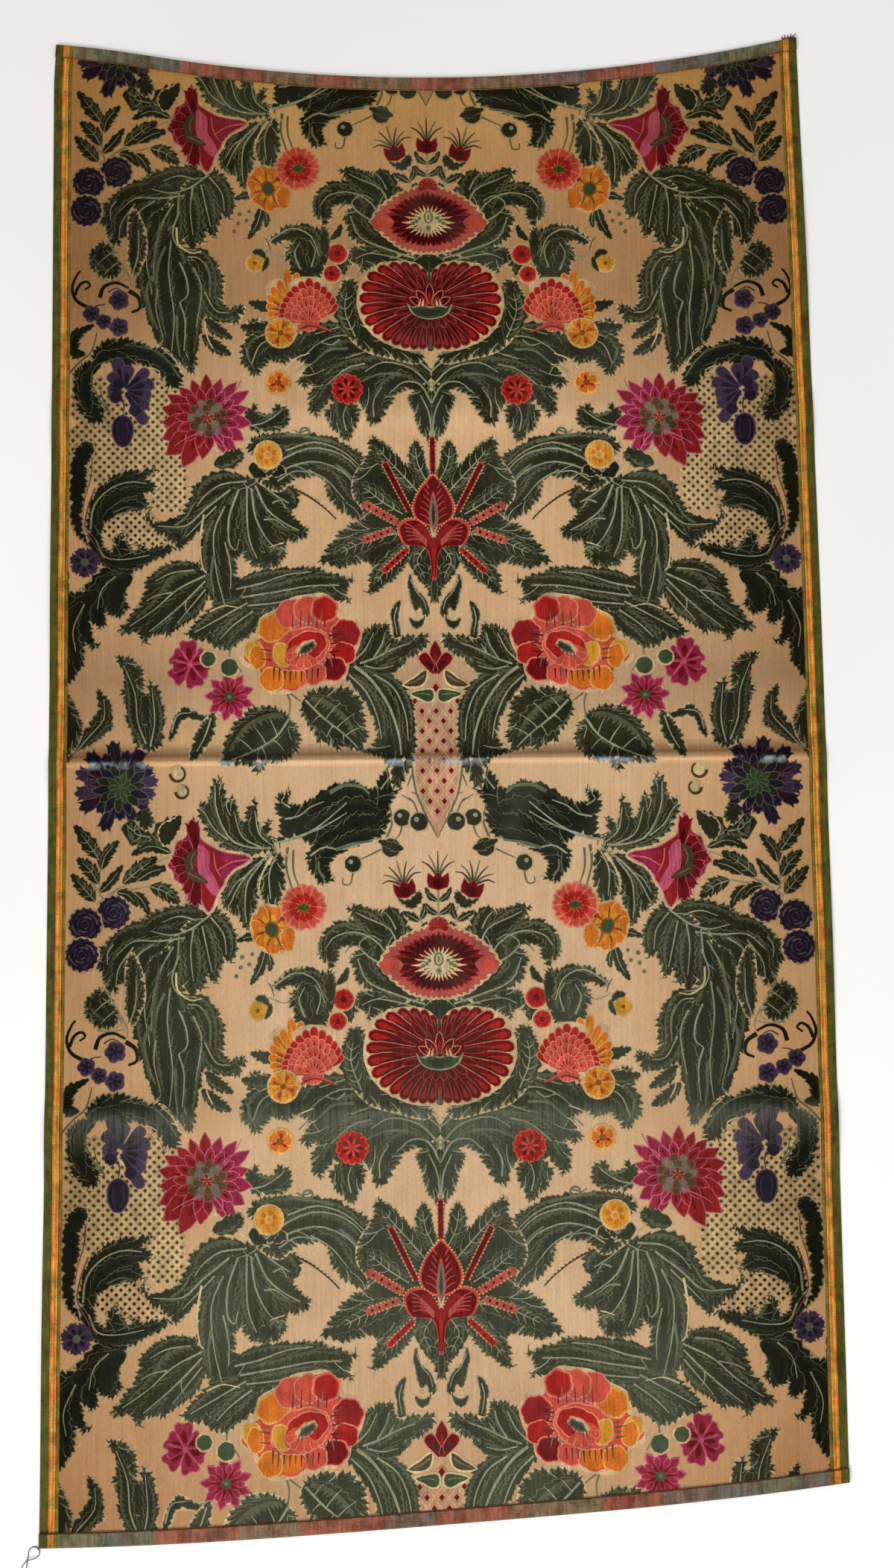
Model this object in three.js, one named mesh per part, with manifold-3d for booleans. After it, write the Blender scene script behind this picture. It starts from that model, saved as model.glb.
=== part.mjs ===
// A length of figured furnishing velvet, cut across the loom's full width and laid flat, face up.
// Both ends are turned over to the front as narrow hems. Three fold lines cross it, because it was
// kept folded in quarters. A curl of thread lies at one corner and a few frayed ends at another.
// Units are millimetres. X runs across the loom width, Y along the length, Z up from the surface.
import * as THREE from 'three';
import Module from 'manifold-3d';
import { mergeVertices } from 'three/addons/utils/BufferGeometryUtils.js';

const wasm = await Module();
wasm.setup();

// Driving dimensions of the cloth
const clothThickness = 1.4;
const hemWidth = 9.7;
const hemThickness = 2.7;
const hemNose = 0.9;

// Side edges: half widths at mid length, and how far each edge draws in towards the ends
const leftEdge = -271.8;
const rightEdge = 276.4;
const leftSpread = 1.4;
const rightDrawIn = 5.2;
const cornerTuck = 1.6;
const cornerTuckLength = 26;

// End edges: height on the middle line, the top's hollow, the bottom's slope and its bulge
const topMiddle = 518.7;
const topHollow = 31.2;
const topLeftEase = 5;
const bottomMiddle = -502.4;
const bottomSlope = 0.0595;
const bottomBulge = 6;
const endReach = 550;
const halfWidth = 274;
const blendLength = 118;

// Fold lines: place along Y, rise of the crest, width of the slope on each side of it,
// and how much of the rise is left at the side edges
const foldLines = [
  { y: 262, rise: 1.9, upSlope: 34, downSlope: 30, atEdges: 0.6, sharp: false },
  { y: 17, rise: 4.4, upSlope: 15, downSlope: 38, atEdges: 0.35, sharp: true },
  { y: -236, rise: 2.6, upSlope: 30, downSlope: 40, atEdges: 0.7, sharp: false },
];

// Low lifts along the side edges: place along Y, half length, and height
const edgeLiftWidth = 46;
const edgeLifts = [
  { side: 1, y: 392, halfLength: 95, rise: 1.6 },
  { side: -1, y: 150, halfLength: 85, rise: 1.2 },
  { side: 1, y: -120, halfLength: 90, rise: 1.3 },
  { side: -1, y: -372, halfLength: 100, rise: 1.5 },
];

// Mesh spacing
const columnCount = 26;
const flatRowSpacing = 30;
const slopeSteps = [-1, -0.62, -0.34, -0.14, 0, 0.14, 0.34, 0.62, 1];

// Thread details
const threadDiameter = 0.7;
const threadClearance = 0.06;
const curlRadius = 3.65;
const curlSteps = 20;
const frayDiameter = 0.9;
const gap = 0.3;

const materials = {
  cloth: new THREE.MeshStandardMaterial({ color: 0x8a7350, roughness: 0.85, metalness: 0 }),
  curl: new THREE.MeshStandardMaterial({ color: 0x6b6558, roughness: 0.9, metalness: 0 }),
  fray: new THREE.MeshStandardMaterial({ color: 0x2d2412, roughness: 0.9, metalness: 0 }),
};

// A hump that is 1 at its middle and falls smoothly to 0 at its rim
function hump(offset, reach) {
  const part = Math.min(1, Math.abs(offset) / reach);
  return (1 - part * part) ** 2;
}

// A crest with a narrow top, for a pressed fold
function crest(offset, reach) {
  const part = Math.min(1, Math.abs(offset) / reach);
  return (1 - part) ** 1.7;
}

function topEdgeY(x) {
  const side = x / halfWidth;
  const leftEase = x < 0 ? topLeftEase * Math.max(0, (-side - 0.75) / 0.25) ** 2 : 0;
  return topMiddle + topHollow * side * side - leftEase;
}

function bottomEdgeY(x) {
  const side = Math.abs(x / halfWidth);
  const bulge = bottomBulge * Math.max(0, 1 - side ** 3);
  return bottomMiddle + bottomBulge + bottomSlope * x - bulge;
}

// Each row crosses the cloth. Near an end it follows that end's curve, and elsewhere it is straight.
function rowY(row, x) {
  const fromTop = topMiddle - row;
  const fromBottom = row - bottomMiddle;
  const followTop = THREE.MathUtils.smoothstep(blendLength - fromTop, 0, blendLength - hemWidth);
  const followBottom = THREE.MathUtils.smoothstep(blendLength - fromBottom, 0, blendLength - hemWidth);
  return row + followTop * (topEdgeY(x) - topMiddle) + followBottom * (bottomEdgeY(x) - bottomMiddle);
}

// The side edges at one row, given by its place on the middle line
function sideEdges(y) {
  const along = y / endReach;
  const tuck = cornerTuck * Math.max(0, 1 - (topMiddle - y) / cornerTuckLength);
  const left = leftEdge - leftSpread * along * along + (y > 0 ? tuck : 0);
  const right = rightEdge - (y > 0 ? rightDrawIn : 1.2) * along * along;
  return { left, right };
}

// Height of the cloth's underside over the surface it lies on
function underside(x, y) {
  let rise = 0;
  const fade = Math.abs(x / halfWidth) ** 4;
  for (const fold of foldLines) {
    const offset = y - fold.y;
    const reach = offset > 0 ? fold.upSlope : fold.downSlope;
    const shape = fold.sharp ? crest(offset, reach) : hump(offset, reach);
    rise += fold.rise * shape * (1 - (1 - fold.atEdges) * fade);
  }
  for (const lift of edgeLifts) {
    const edge = lift.side > 0 ? rightEdge : leftEdge;
    rise += lift.rise * hump(x - edge, edgeLiftWidth) * hump(y - lift.y, lift.halfLength);
  }
  return rise;
}

// Thickness over the underside: doubled at the hems, with a rounded fold at the outer edge
function thicknessAt(row) {
  const inset = Math.min(topMiddle - row, row - bottomMiddle);
  if (inset < 0.01) return hemThickness * 0.62;
  if (inset < hemWidth + 0.05) return hemThickness;
  return clothThickness;
}

function noseLift(row) {
  const inset = Math.min(topMiddle - row, row - bottomMiddle);
  return inset < 0.01 ? hemThickness * 0.3 : 0;
}

function rowPlaces() {
  const rows = [];
  for (const inset of [0, hemNose, hemWidth * 0.5, hemWidth, hemWidth + 0.4]) {
    rows.push(bottomMiddle + inset, topMiddle - inset);
  }
  for (const fold of foldLines) {
    for (const step of slopeSteps) {
      rows.push(fold.y + step * (step > 0 ? fold.upSlope : fold.downSlope));
    }
  }
  rows.sort((a, b) => a - b);
  const filled = [rows[0]];
  for (const row of rows.slice(1)) {
    const last = filled.at(-1);
    const pieces = Math.max(1, Math.round((row - last) / flatRowSpacing));
    for (let i = 1; i <= pieces; i += 1) filled.push(last + (row - last) * (i / pieces));
  }
  return filled;
}

function clothGeometry() {
  const rows = rowPlaces();
  const points = [];
  for (const layer of [0, 1]) {
    for (const row of rows) {
      const { left, right } = sideEdges(rowY(row, 0));
      for (let column = 0; column <= columnCount; column += 1) {
        const x = left + (right - left) * (column / columnCount);
        const y = rowY(row, x);
        const base = underside(x, y) + noseLift(row);
        const z = layer === 0 ? base : underside(x, y) + thicknessAt(row);
        points.push(x, y, z);
      }
    }
  }
  const width = columnCount + 1;
  const layerSize = width * rows.length;
  const at = (layer, row, column) => layer * layerSize + row * width + column;
  const faces = [];
  const quad = (a, b, c, d) => faces.push(a, b, c, a, c, d);
  for (let r = 0; r < rows.length - 1; r += 1) {
    for (let c = 0; c < columnCount; c += 1) {
      quad(at(1, r, c), at(1, r, c + 1), at(1, r + 1, c + 1), at(1, r + 1, c));
      quad(at(0, r, c), at(0, r + 1, c), at(0, r + 1, c + 1), at(0, r, c + 1));
    }
    quad(at(0, r, 0), at(1, r, 0), at(1, r + 1, 0), at(0, r + 1, 0));
    quad(at(0, r, columnCount), at(0, r + 1, columnCount), at(1, r + 1, columnCount), at(1, r, columnCount));
  }
  const last = rows.length - 1;
  for (let c = 0; c < columnCount; c += 1) {
    quad(at(0, 0, c), at(0, 0, c + 1), at(1, 0, c + 1), at(1, 0, c));
    quad(at(0, last, c), at(1, last, c), at(1, last, c + 1), at(0, last, c + 1));
  }
  const geometry = new THREE.BufferGeometry();
  geometry.setAttribute('position', new THREE.Float32BufferAttribute(points, 3));
  geometry.setIndex(faces);
  return geometry;
}

// A round thread of a few flat sides along a smooth curve
function threadAlong(points, diameter, sides, steps) {
  const section = new THREE.Shape();
  for (let i = 0; i < sides; i += 1) {
    const angle = (2 * Math.PI * i) / sides;
    const place = [Math.cos(angle) * (diameter / 2), Math.sin(angle) * (diameter / 2)];
    if (i === 0) section.moveTo(...place);
    else section.lineTo(...place);
  }
  section.closePath();
  const path = new THREE.CatmullRomCurve3(points, false, 'centripetal');
  return new THREE.ExtrudeGeometry(section, { steps, extrudePath: path, bevelEnabled: false });
}

// The curled sewing thread at the bottom left corner: one loose loop whose two ends trail away
function threadCurl() {
  const corner = new THREE.Vector2(sideEdges(bottomEdgeY(leftEdge)).left, bottomEdgeY(leftEdge));
  const reach = curlRadius + threadDiameter / 2 + gap;
  const away = THREE.MathUtils.degToRad(222);
  const centre = corner.clone().add(new THREE.Vector2(Math.cos(away), Math.sin(away)).multiplyScalar(reach));
  const rest = threadDiameter / 2 + threadClearance;
  const over = rest + threadDiameter * 1.25;
  const points = [
    new THREE.Vector3(-5.2, -15.5, rest),
    new THREE.Vector3(-4.9, -10, rest),
    new THREE.Vector3(-4.5, -5.5, rest),
    new THREE.Vector3(-4.0, -2.2, rest),
  ];
  for (let i = 0; i <= curlSteps; i += 1) {
    const turn = i / curlSteps;
    const angle = THREE.MathUtils.degToRad(178 - 262 * turn);
    const z = rest + (over - rest) * THREE.MathUtils.smoothstep(turn, 0.72, 1);
    points.push(new THREE.Vector3(Math.cos(angle) * curlRadius, Math.sin(angle) * curlRadius, z));
  }
  points.push(new THREE.Vector3(-2.1, -4.15, over + 0.1));
  points.push(new THREE.Vector3(-4.6, -5.0, over + 0.1));
  points.push(new THREE.Vector3(-6.9, -7.4, rest + 0.5));
  points.push(new THREE.Vector3(-8.6, -10.8, rest));
  points.push(new THREE.Vector3(-9.6, -15.2, rest));
  for (const point of points) point.add(new THREE.Vector3(centre.x, centre.y, 0));
  return threadAlong(points, threadDiameter, 6, 72);
}

function solidFrom(geometry) {
  const bare = geometry.clone();
  bare.deleteAttribute('normal');
  bare.deleteAttribute('uv');
  const merged = mergeVertices(bare, 1e-4);
  const vertProperties = new Float32Array(merged.attributes.position.array);
  const triVerts = new Uint32Array(merged.index.array);
  return new wasm.Manifold(new wasm.Mesh({ numProp: 3, vertProperties, triVerts }));
}

function geometryFrom(solid) {
  const mesh = solid.getMesh();
  const geometry = new THREE.BufferGeometry();
  geometry.setAttribute('position', new THREE.BufferAttribute(new Float32Array(mesh.vertProperties), 3));
  geometry.setIndex(new THREE.BufferAttribute(new Uint32Array(mesh.triVerts), 1));
  return geometry;
}

// Frayed ends past the top right corner: five short threads that leave one root strip
function frayedEnds() {
  const rootX = 266;
  const rootLength = 8.4;
  const slope = Math.atan2(topEdgeY(rootX + 4) - topEdgeY(rootX - 4), 8);
  const root = new THREE.BoxGeometry(rootLength, 1, frayDiameter);
  const strands = [
    { along: -3.4, lean: 104, length: 2.6 },
    { along: -1.7, lean: 92, length: 3.4 },
    { along: 0.2, lean: 84, length: 2.8 },
    { along: 1.9, lean: 62, length: 3.6 },
    { along: 3.5, lean: 34, length: 4.4 },
  ];
  let joined = solidFrom(root);
  for (const strand of strands) {
    const lean = THREE.MathUtils.degToRad(strand.lean);
    const taper = new THREE.CylinderGeometry(0.16, frayDiameter * 0.5, strand.length, 4);
    taper.translate(0, strand.length / 2, 0);
    taper.rotateZ(lean - Math.PI / 2);
    taper.translate(strand.along, 0, 0);
    joined = joined.add(solidFrom(taper));
  }
  const geometry = geometryFrom(joined);
  geometry.rotateZ(slope);
  const stand = 0.5 + gap;
  geometry.translate(rootX - Math.sin(slope) * stand, topEdgeY(rootX) + Math.cos(slope) * stand, frayDiameter / 2);
  return geometry;
}

function named(name, geometry, material) {
  const mesh = new THREE.Mesh(geometry, material);
  mesh.name = name;
  return mesh;
}

const part = new THREE.Group();
part.add(named('cloth', clothGeometry(), materials.cloth));
part.add(named('thread_curl', threadCurl(), materials.curl));
part.add(named('frayed_ends', frayedEnds(), materials.fray));

// The origin is the middle of the whole part's footprint, on the surface it lies on
const footprint = new THREE.Box3().setFromObject(part);
const middle = footprint.getCenter(new THREE.Vector3());
part.position.set(-middle.x, -middle.y, -footprint.min.z);

export default part;
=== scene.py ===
# A length of figured furnishing velvet, laid flat and face up, dressed over its CAD frame.
# Its satin ground is one folded and closed sheet. Its pile pattern stands on the ground as closed
# pieces, drawn below with leaves, petals and strokes. Sizes are millimetres until a mesh is made.
import bpy
import numpy as np
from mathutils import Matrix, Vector, geometry


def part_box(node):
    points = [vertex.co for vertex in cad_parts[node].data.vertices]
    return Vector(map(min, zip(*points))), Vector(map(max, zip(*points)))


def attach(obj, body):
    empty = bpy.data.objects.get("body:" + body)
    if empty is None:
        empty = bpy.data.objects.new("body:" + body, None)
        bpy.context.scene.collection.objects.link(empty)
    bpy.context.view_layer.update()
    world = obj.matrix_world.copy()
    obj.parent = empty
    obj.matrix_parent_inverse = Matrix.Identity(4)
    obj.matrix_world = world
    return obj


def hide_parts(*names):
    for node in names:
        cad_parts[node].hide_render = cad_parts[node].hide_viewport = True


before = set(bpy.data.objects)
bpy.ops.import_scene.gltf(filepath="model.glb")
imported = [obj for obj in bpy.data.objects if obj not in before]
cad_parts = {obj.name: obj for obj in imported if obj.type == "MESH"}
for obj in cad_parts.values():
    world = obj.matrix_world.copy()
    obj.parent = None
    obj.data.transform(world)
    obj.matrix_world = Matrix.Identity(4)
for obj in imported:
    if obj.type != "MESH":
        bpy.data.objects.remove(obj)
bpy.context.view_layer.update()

# The cloth's own sizes, as its solid has them
HEM_WIDTH = 9.7
LEFT_EDGE = -271.8
RIGHT_EDGE = 276.4
LEFT_SPREAD = 1.4
RIGHT_DRAW_IN_TOP = 5.2
RIGHT_DRAW_IN_BOTTOM = 1.2
CORNER_TUCK = 1.6
CORNER_TUCK_LENGTH = 26
TOP_MIDDLE = 518.7
TOP_HOLLOW = 31.2
TOP_LEFT_EASE = 5
BOTTOM_MIDDLE = -502.4
BOTTOM_SLOPE = 0.0595
BOTTOM_BULGE = 6
END_REACH = 550
HALF_WIDTH = 274
BLEND_LENGTH = 118

# Fold lines: place along Y, rise, slope width above and below, share left at the edges, sharp crest or not
FOLD_LINES = [
    (262, 1.9, 34, 30, 0.6, False),
    (17, 4.4, 15, 38, 0.35, True),
    (-236, 2.6, 30, 40, 0.7, False),
]

# Low lifts along the side edges: edge, place along Y, half length, rise
EDGE_LIFT_WIDTH = 46
EDGE_LIFTS = [
    (RIGHT_EDGE, 392, 95, 1.6),
    (LEFT_EDGE, 150, 85, 1.2),
    (RIGHT_EDGE, -120, 90, 1.3),
    (LEFT_EDGE, -372, 100, 1.5),
]

# The woven make: ground thickness, pile height over it, selvedge stripes and the pattern's repeat
GROUND_THICKNESS = 0.9
PILE_HEIGHT = 0.5
SELVEDGE_WIDTH = 12.9
REPEAT = 535.8
LEFT_STRETCH = 0.991
RIGHT_STRETCH = 1.009


def smoothstep(x, low, high):
    t = np.clip((x - low) / (high - low), 0, 1)
    return t * t * (3 - 2 * t)


def hump(offset, reach):
    part = np.minimum(1, np.abs(offset) / reach)
    return (1 - part * part) ** 2


def crest(offset, reach):
    part = np.minimum(1, np.abs(offset) / reach)
    return (1 - part) ** 1.7


def top_edge(x):
    side = x / HALF_WIDTH
    ease = np.where(x < 0, TOP_LEFT_EASE * np.maximum(0, (-side - 0.75) / 0.25) ** 2, 0)
    return TOP_MIDDLE + TOP_HOLLOW * side * side - ease


def bottom_edge(x):
    side = np.abs(x / HALF_WIDTH)
    bulge = BOTTOM_BULGE * np.maximum(0, 1 - side**3)
    return BOTTOM_MIDDLE + BOTTOM_BULGE + BOTTOM_SLOPE * x - bulge


def row_y(row, x):
    """Where a row of the cloth lies at x. Rows follow the curve of the end that is near."""
    top = smoothstep(BLEND_LENGTH - (TOP_MIDDLE - row), 0, BLEND_LENGTH - HEM_WIDTH)
    bottom = smoothstep(BLEND_LENGTH - (row - BOTTOM_MIDDLE), 0, BLEND_LENGTH - HEM_WIDTH)
    return row + top * (top_edge(x) - TOP_MIDDLE) + bottom * (bottom_edge(x) - BOTTOM_MIDDLE)


def side_edges(y):
    along = y / END_REACH
    tuck = np.where(y > 0, CORNER_TUCK * np.maximum(0, 1 - (TOP_MIDDLE - y) / CORNER_TUCK_LENGTH), 0)
    draw_in = np.where(y > 0, RIGHT_DRAW_IN_TOP, RIGHT_DRAW_IN_BOTTOM)
    return LEFT_EDGE - LEFT_SPREAD * along**2 + tuck, RIGHT_EDGE - draw_in * along**2


def lift(x, y):
    """Height of the cloth's underside over the surface that it lies on."""
    fade = np.abs(x / HALF_WIDTH) ** 4
    rise = np.zeros(np.broadcast(x, y).shape)
    for place, height, above, below, at_edges, sharp in FOLD_LINES:
        offset = y - place
        reach = np.where(offset > 0, above, below)
        shape = crest(offset, reach) if sharp else hump(offset, reach)
        rise = rise + height * shape * (1 - (1 - at_edges) * fade)
    for edge, place, half_length, height in EDGE_LIFTS:
        rise = rise + height * hump(x - edge, EDGE_LIFT_WIDTH) * hump(y - place, half_length)
    return rise


# The solid's own frame against this one, from the box of the CAD cloth
_, cloth_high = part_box("cloth")
corner_x = float(side_edges(TOP_MIDDLE)[1])
SHIFT_X = cloth_high.x * 1000 - RIGHT_EDGE
SHIFT_Y = cloth_high.y * 1000 - float(top_edge(corner_x))

# Colours, as they look in daylight
TONES = {
    "ground": "c09c75", "halo": "ccab84", "rim": "5c5c44", "leaf": "242517", "dark": "191b12", "sheen": "484a36",
    "vein": "83866c", "moss": "565e48", "green": "2c3c22", "cream": "d2ba8c", "straw": "c4aa78",
    "peach": "dba45c", "gold": "cf912e", "orange": "cf6c22", "amber": "8c4e18", "umber": "43301e",
    "blush": "d8806a", "coral": "c84c3c", "red": "a61f1a", "crimson": "6a0f14", "maroon": "3e060c",
    "rosewood": "8c302e", "rosy": "b4524a", "shell": "c08c70", "claret": "8a1e20", "pink": "c06078", "dusk": "84503f", "rose": "b8506a", "magenta": "922440", "mauve": "5a4858",
    "violet": "3a2d46", "ink": "1f1828", "tan": "c09a68",
    "olive": "4a4c12", "rust": "5c3410", "stripe": "b87224", "glow": "cc9440", "line": "4a3608",
    "bronze": "74601a", "brick": "86503f", "brown": "77604a", "slate": "605c52", "sage": "66634c",
    "plum": "6e5850", "back": "7d6a4c",
}


EDGE_TONES = ("olive", "rust", "stripe", "glow", "line", "bronze", "brick", "brown", "slate", "sage", "plum")


# Cutting the outlines into triangles: the distances at which points are merged, the least area that
# counts, and how many points are tested at once
OUTLINE_MERGE = 0.02
CORNER_MERGE = 0.001
SAME_PLACE = 1e-6
NO_AREA = 1e-7
POINTS_AT_ONCE = 20000

# The baked picture: the millimetres it spans, its margins, and the scale and corner of the hidden faces
BAKE_SPAN = 1100
BAKE_MARGIN_X = 6
BAKE_MARGIN_Y = 30
HIDDEN_SCALE = 0.4
HIDDEN_CORNER = (0.56, 0.02)

# The sheet: its strips between the selvedges, how far its side edges are rounded, and the height above
# which its back lies over the front as a hem
MIDDLE_SPANS = 72
EDGE_SQUEEZE = 0.36
HEM_LEVEL = 1.1


def linear(name):
    """A tone's colour in the linear scale that shaders use. Its alpha is 0 on the selvedges and hems."""
    value = np.array([int(TONES[name][i : i + 2], 16) / 255 for i in (0, 2, 4)])
    value = np.where(value < 0.04045, value / 12.92, ((value + 0.055) / 1.055) ** 2.4)
    return (*value, 0.0 if name in EDGE_TONES else 1.0)

# Drawing kit for the woven pattern. All sizes here are millimetres on the flat cloth.
# A drawing is a list of (outline, tone) pairs, and a later one covers an earlier one.
drawing = []
group = 0


def put(points, tone):
    drawing.append((np.asarray(points, float), tone, group))


def smooth(points, count):
    """A smooth line through given points, as count even steps of its parameter."""
    p = np.asarray(points, float)
    if len(p) == 2:
        t = np.linspace(0, 1, count)[:, None]
        return p[0] * (1 - t) + p[1] * t
    q = np.vstack([2 * p[0] - p[1], p, 2 * p[-1] - p[-2]])
    at = np.linspace(0, len(p) - 1, count)
    out = []
    for s in at:
        i = min(int(s), len(p) - 2)
        t = s - i
        a, b, c, d = q[i : i + 4]
        out.append(0.5 * (2 * b + (c - a) * t + (2 * a - 5 * b + 4 * c - d) * t**2 + (3 * b - a - 3 * c + d) * t**3))
    return np.array(out)


def heading(line):
    """Unit directions along a line."""
    d = np.gradient(line, axis=0)
    return d / np.maximum(np.linalg.norm(d, axis=1), 1e-9)[:, None]


def rib(line, wide, tip=0.25):
    """The outline of a tapered stroke along a line: wide at its start, tip times that at its end."""
    across = heading(line)[:, ::-1] * (-1, 1)
    half = wide / 2 * np.linspace(1, tip, len(line))[:, None]
    return np.vstack([line + across * half, (line - across * half)[::-1]])


def stroke(points, wide, tone, tip=0.4, count=8):
    put(rib(smooth(points, count), wide, tip), tone)


COMB_PITCH = 3.1
COMB_DEPTH = 1.3
MASS_PITCH = 4.1
MASS_COMB = 2.1
HALO_WIDTH = 1.1
RIM_WIDTH = 0.75
NOTCH = 1.3


def leaf_edge(path, wide, teeth, depth, inset=0.0, comb=True):
    """A leaf's outline along its middle line: big lobes, each with a fine comb of points."""
    half = wide / 2 - inset
    if half <= 0.2:
        return None
    full = smooth(path, 41)
    ways = heading(full)
    length = np.linalg.norm(np.diff(full, axis=0), axis=1).sum()
    fine = max(3, int(round(length / COMB_PITCH))) if comb else 5
    at = (np.arange(2 * fine) + 0.5) / (2 * fine)
    peak = np.arange(2 * fine) % 2 == 1
    swell = np.sin(np.pi * np.clip(at, 0.015, 0.985) ** 0.8) ** 0.68
    lobe = (at * max(1, teeth)) % 1.0
    cut = 1 - depth * (1 - lobe) ** 1.5 * (teeth > 1)
    sharp = min(COMB_DEPTH, wide * 0.09) * swell**0.5 * (1 if comb else 0)
    size = np.maximum(half * swell * cut + np.where(peak, sharp, 0), 0.12)
    low = np.clip(at * 40, 0, 39.999)
    i = low.astype(int)
    part = (low - i)[:, None]
    mid = full[i] * (1 - part) + full[i + 1] * part
    way = ways[i] * (1 - part) + ways[i + 1] * part
    across = way[:, ::-1] * (-1, 1)
    forward = way * (0.3 * size * lobe * (teeth > 1) + np.where(peak, sharp * 0.9, 0))[:, None]
    one = mid + across * size[:, None] + forward
    two = mid - across * size[:, None] + forward
    head = full[-1:] - ways[-1:] * inset
    tail = full[:1] + ways[:1] * inset
    return np.vstack([tail, one, head, two[::-1]])


def blades(parts, tone="leaf", rim="rim", vein="vein", halo=True, rim_width=0.75, twigs=True):
    """Leaves drawn as one group: their halos first, then each with its rim, body and veins."""
    if halo:
        for path, wide, teeth, depth in parts:
            put(leaf_edge(path, wide, teeth, depth, -1.1, False), "halo")
    for path, wide, teeth, depth in parts:
        if rim:
            put(leaf_edge(path, wide, teeth, depth), rim)
        edge = leaf_edge(path, wide, teeth, depth, rim_width if rim else 0)
        if edge is not None:
            put(edge, tone)
            if wide > 9:
                put(light_half(path, wide - 2 * rim_width), LIGHTER.get(tone, tone))
        if vein:
            veins(path, wide, vein, twigs)


def winding_inside(points, outline):
    """Which points lie inside an outline, counted by its turns so that overlaps stay inside."""
    a = outline
    b = np.roll(outline, -1, axis=0)
    x, y = points[:, :1], points[:, 1:]
    up = (a[:, 1] <= y) & (b[:, 1] > y)
    down = (a[:, 1] > y) & (b[:, 1] <= y)
    cross = (b[:, 0] - a[:, 0]) * (y - a[:, 1]) - (x - a[:, 0]) * (b[:, 1] - a[:, 1])
    return ((up & (cross > 0)).sum(1) - (down & (cross < 0)).sum(1)) != 0


def mass_line(points, comb):
    """A closed smooth line through a few points, with its directions, its outward sides and its mean thickness."""
    points = np.asarray(points, float)
    count = len(points)
    length = np.linalg.norm(points - np.roll(points, 1, axis=0), axis=1).sum()
    steps = 6 * max(2, round(length * 1.08 / (3 * (MASS_PITCH if comb else 8))))
    at = np.arange(steps) / steps * count
    i = at.astype(int)
    t = (at - i)[:, None]
    a, b, c, d = (points[(i + k) % count] for k in (-1, 0, 1, 2))
    line = 0.5 * (2 * b + (c - a) * t + (2 * a - 5 * b + 4 * c - d) * t**2 + (3 * b - a - 3 * c + d) * t**3)
    way = np.roll(line, -1, axis=0) - np.roll(line, 1, axis=0)
    way = way / np.maximum(np.linalg.norm(way, axis=1), 1e-9)[:, None]
    double_area = (line[:, 0] * np.roll(line[:, 1], -1) - line[:, 1] * np.roll(line[:, 0], -1)).sum()
    out = way[:, ::-1] * ((1, -1) if double_area > 0 else (-1, 1))
    far = np.linalg.norm(line - line[0], axis=1).argmax()
    way = way * np.where(np.arange(steps) < far, 1, -1)[:, None]
    return line, way, out, abs(double_area) / length


def mass_edge(points, grow, comb):
    """A mass's outline, grown outwards, with uneven points that lean to its tip and a notch at every third."""
    line, way, out, thick = mass_line(points, comb)
    comb = min(comb, 0.16 * thick)
    step = np.arange(len(line))
    peak = (step % 2 * (1 + 0.35 * np.sin(step * 2.1)))[:, None] * comb
    notch = (step % 6 == 0)[:, None] * comb * NOTCH
    return line + out * (grow - 0.35 * comb + peak - notch) + way * peak * 0.6


def nested(points, *layers):
    """One outline drawn several times: each layer says how far it grows, its comb and its tone."""
    for grow, comb, tone in layers:
        put(mass_edge(points, grow, comb), tone)


def mass(points, tone="leaf", comb=MASS_COMB):
    """A broad leafy shape with a halo, a rim and feathery strokes in from its edge.

    The points of its outline are given as distances left of the middle line and down from the repeat's top.
    """
    points = -np.reshape(points, (-1, 2))
    nested(points, (HALO_WIDTH, 0, "halo"), (0, comb, "rim"), (-RIM_WIDTH, comb, tone))
    line, way, out, thick = mass_line(points, comb)
    reach = min(5, 0.3 * thick)
    for k in range(1, len(line), 2):
        own = reach * (1 + 0.3 * np.sin(k * 1.7))
        tip = line[k] - out[k] * 0.5
        inner = tip - (out[k] + way[k]) * own * 0.8
        if own > 1.8 and nearest(line, inner) > 0.6 * own:
            put(rib(np.array([tip, inner]), 1.15, 0.3), LIGHTER.get(tone, tone))
    reach = min(13, 0.52 * thick)
    for k in range(0, len(line), 6):
        path = line[k] - (out[k] * 0.2, (out[k] * 0.45 + way[k] * 0.3) * reach, (out[k] * 0.8 + way[k]) * reach)
        if reach > 5 and nearest(line, path[2]) > 0.45 * reach and winding_inside(path[1:], line).all():
            put(rib(smooth(path, 4), 0.95, 0.5), "moss" if tone == "dark" else "vein")


def nearest(line, place):
    """How near a line's points come to a place."""
    return np.linalg.norm(line - place, axis=1).min()


LIGHTER = {"leaf": "sheen", "dark": "leaf"}


def light_half(path, wide):
    """The lighter side of a leaf, on the outside of its bend. Its inner edge is combed."""
    line = smooth(path, 33)
    ways = heading(line)
    turn = ways[0, 0] * ways[-1, 1] - ways[0, 1] * ways[-1, 0]
    length = np.linalg.norm(np.diff(line, axis=0), axis=1).sum()
    count = max(4, int(length / 4.6))
    at = np.linspace(0.1, 0.88, 2 * count)
    i = (at * 32).astype(int)
    swell = wide / 2 * np.sin(np.pi * at**0.8) ** 0.68
    across = ways[i][:, ::-1] * ((-1, 1) if turn < 0 else (1, -1))
    inner = np.where(np.arange(2 * count) % 2, 0.52, 0.16) * swell
    one = line[i] + across * inner[:, None] + ways[i] * (np.arange(2 * count) % 2 * 1.6)[:, None]
    two = (line[i] + across * (swell * 0.74)[:, None])[::2]
    return np.vstack([one, two[::-1]])


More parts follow.
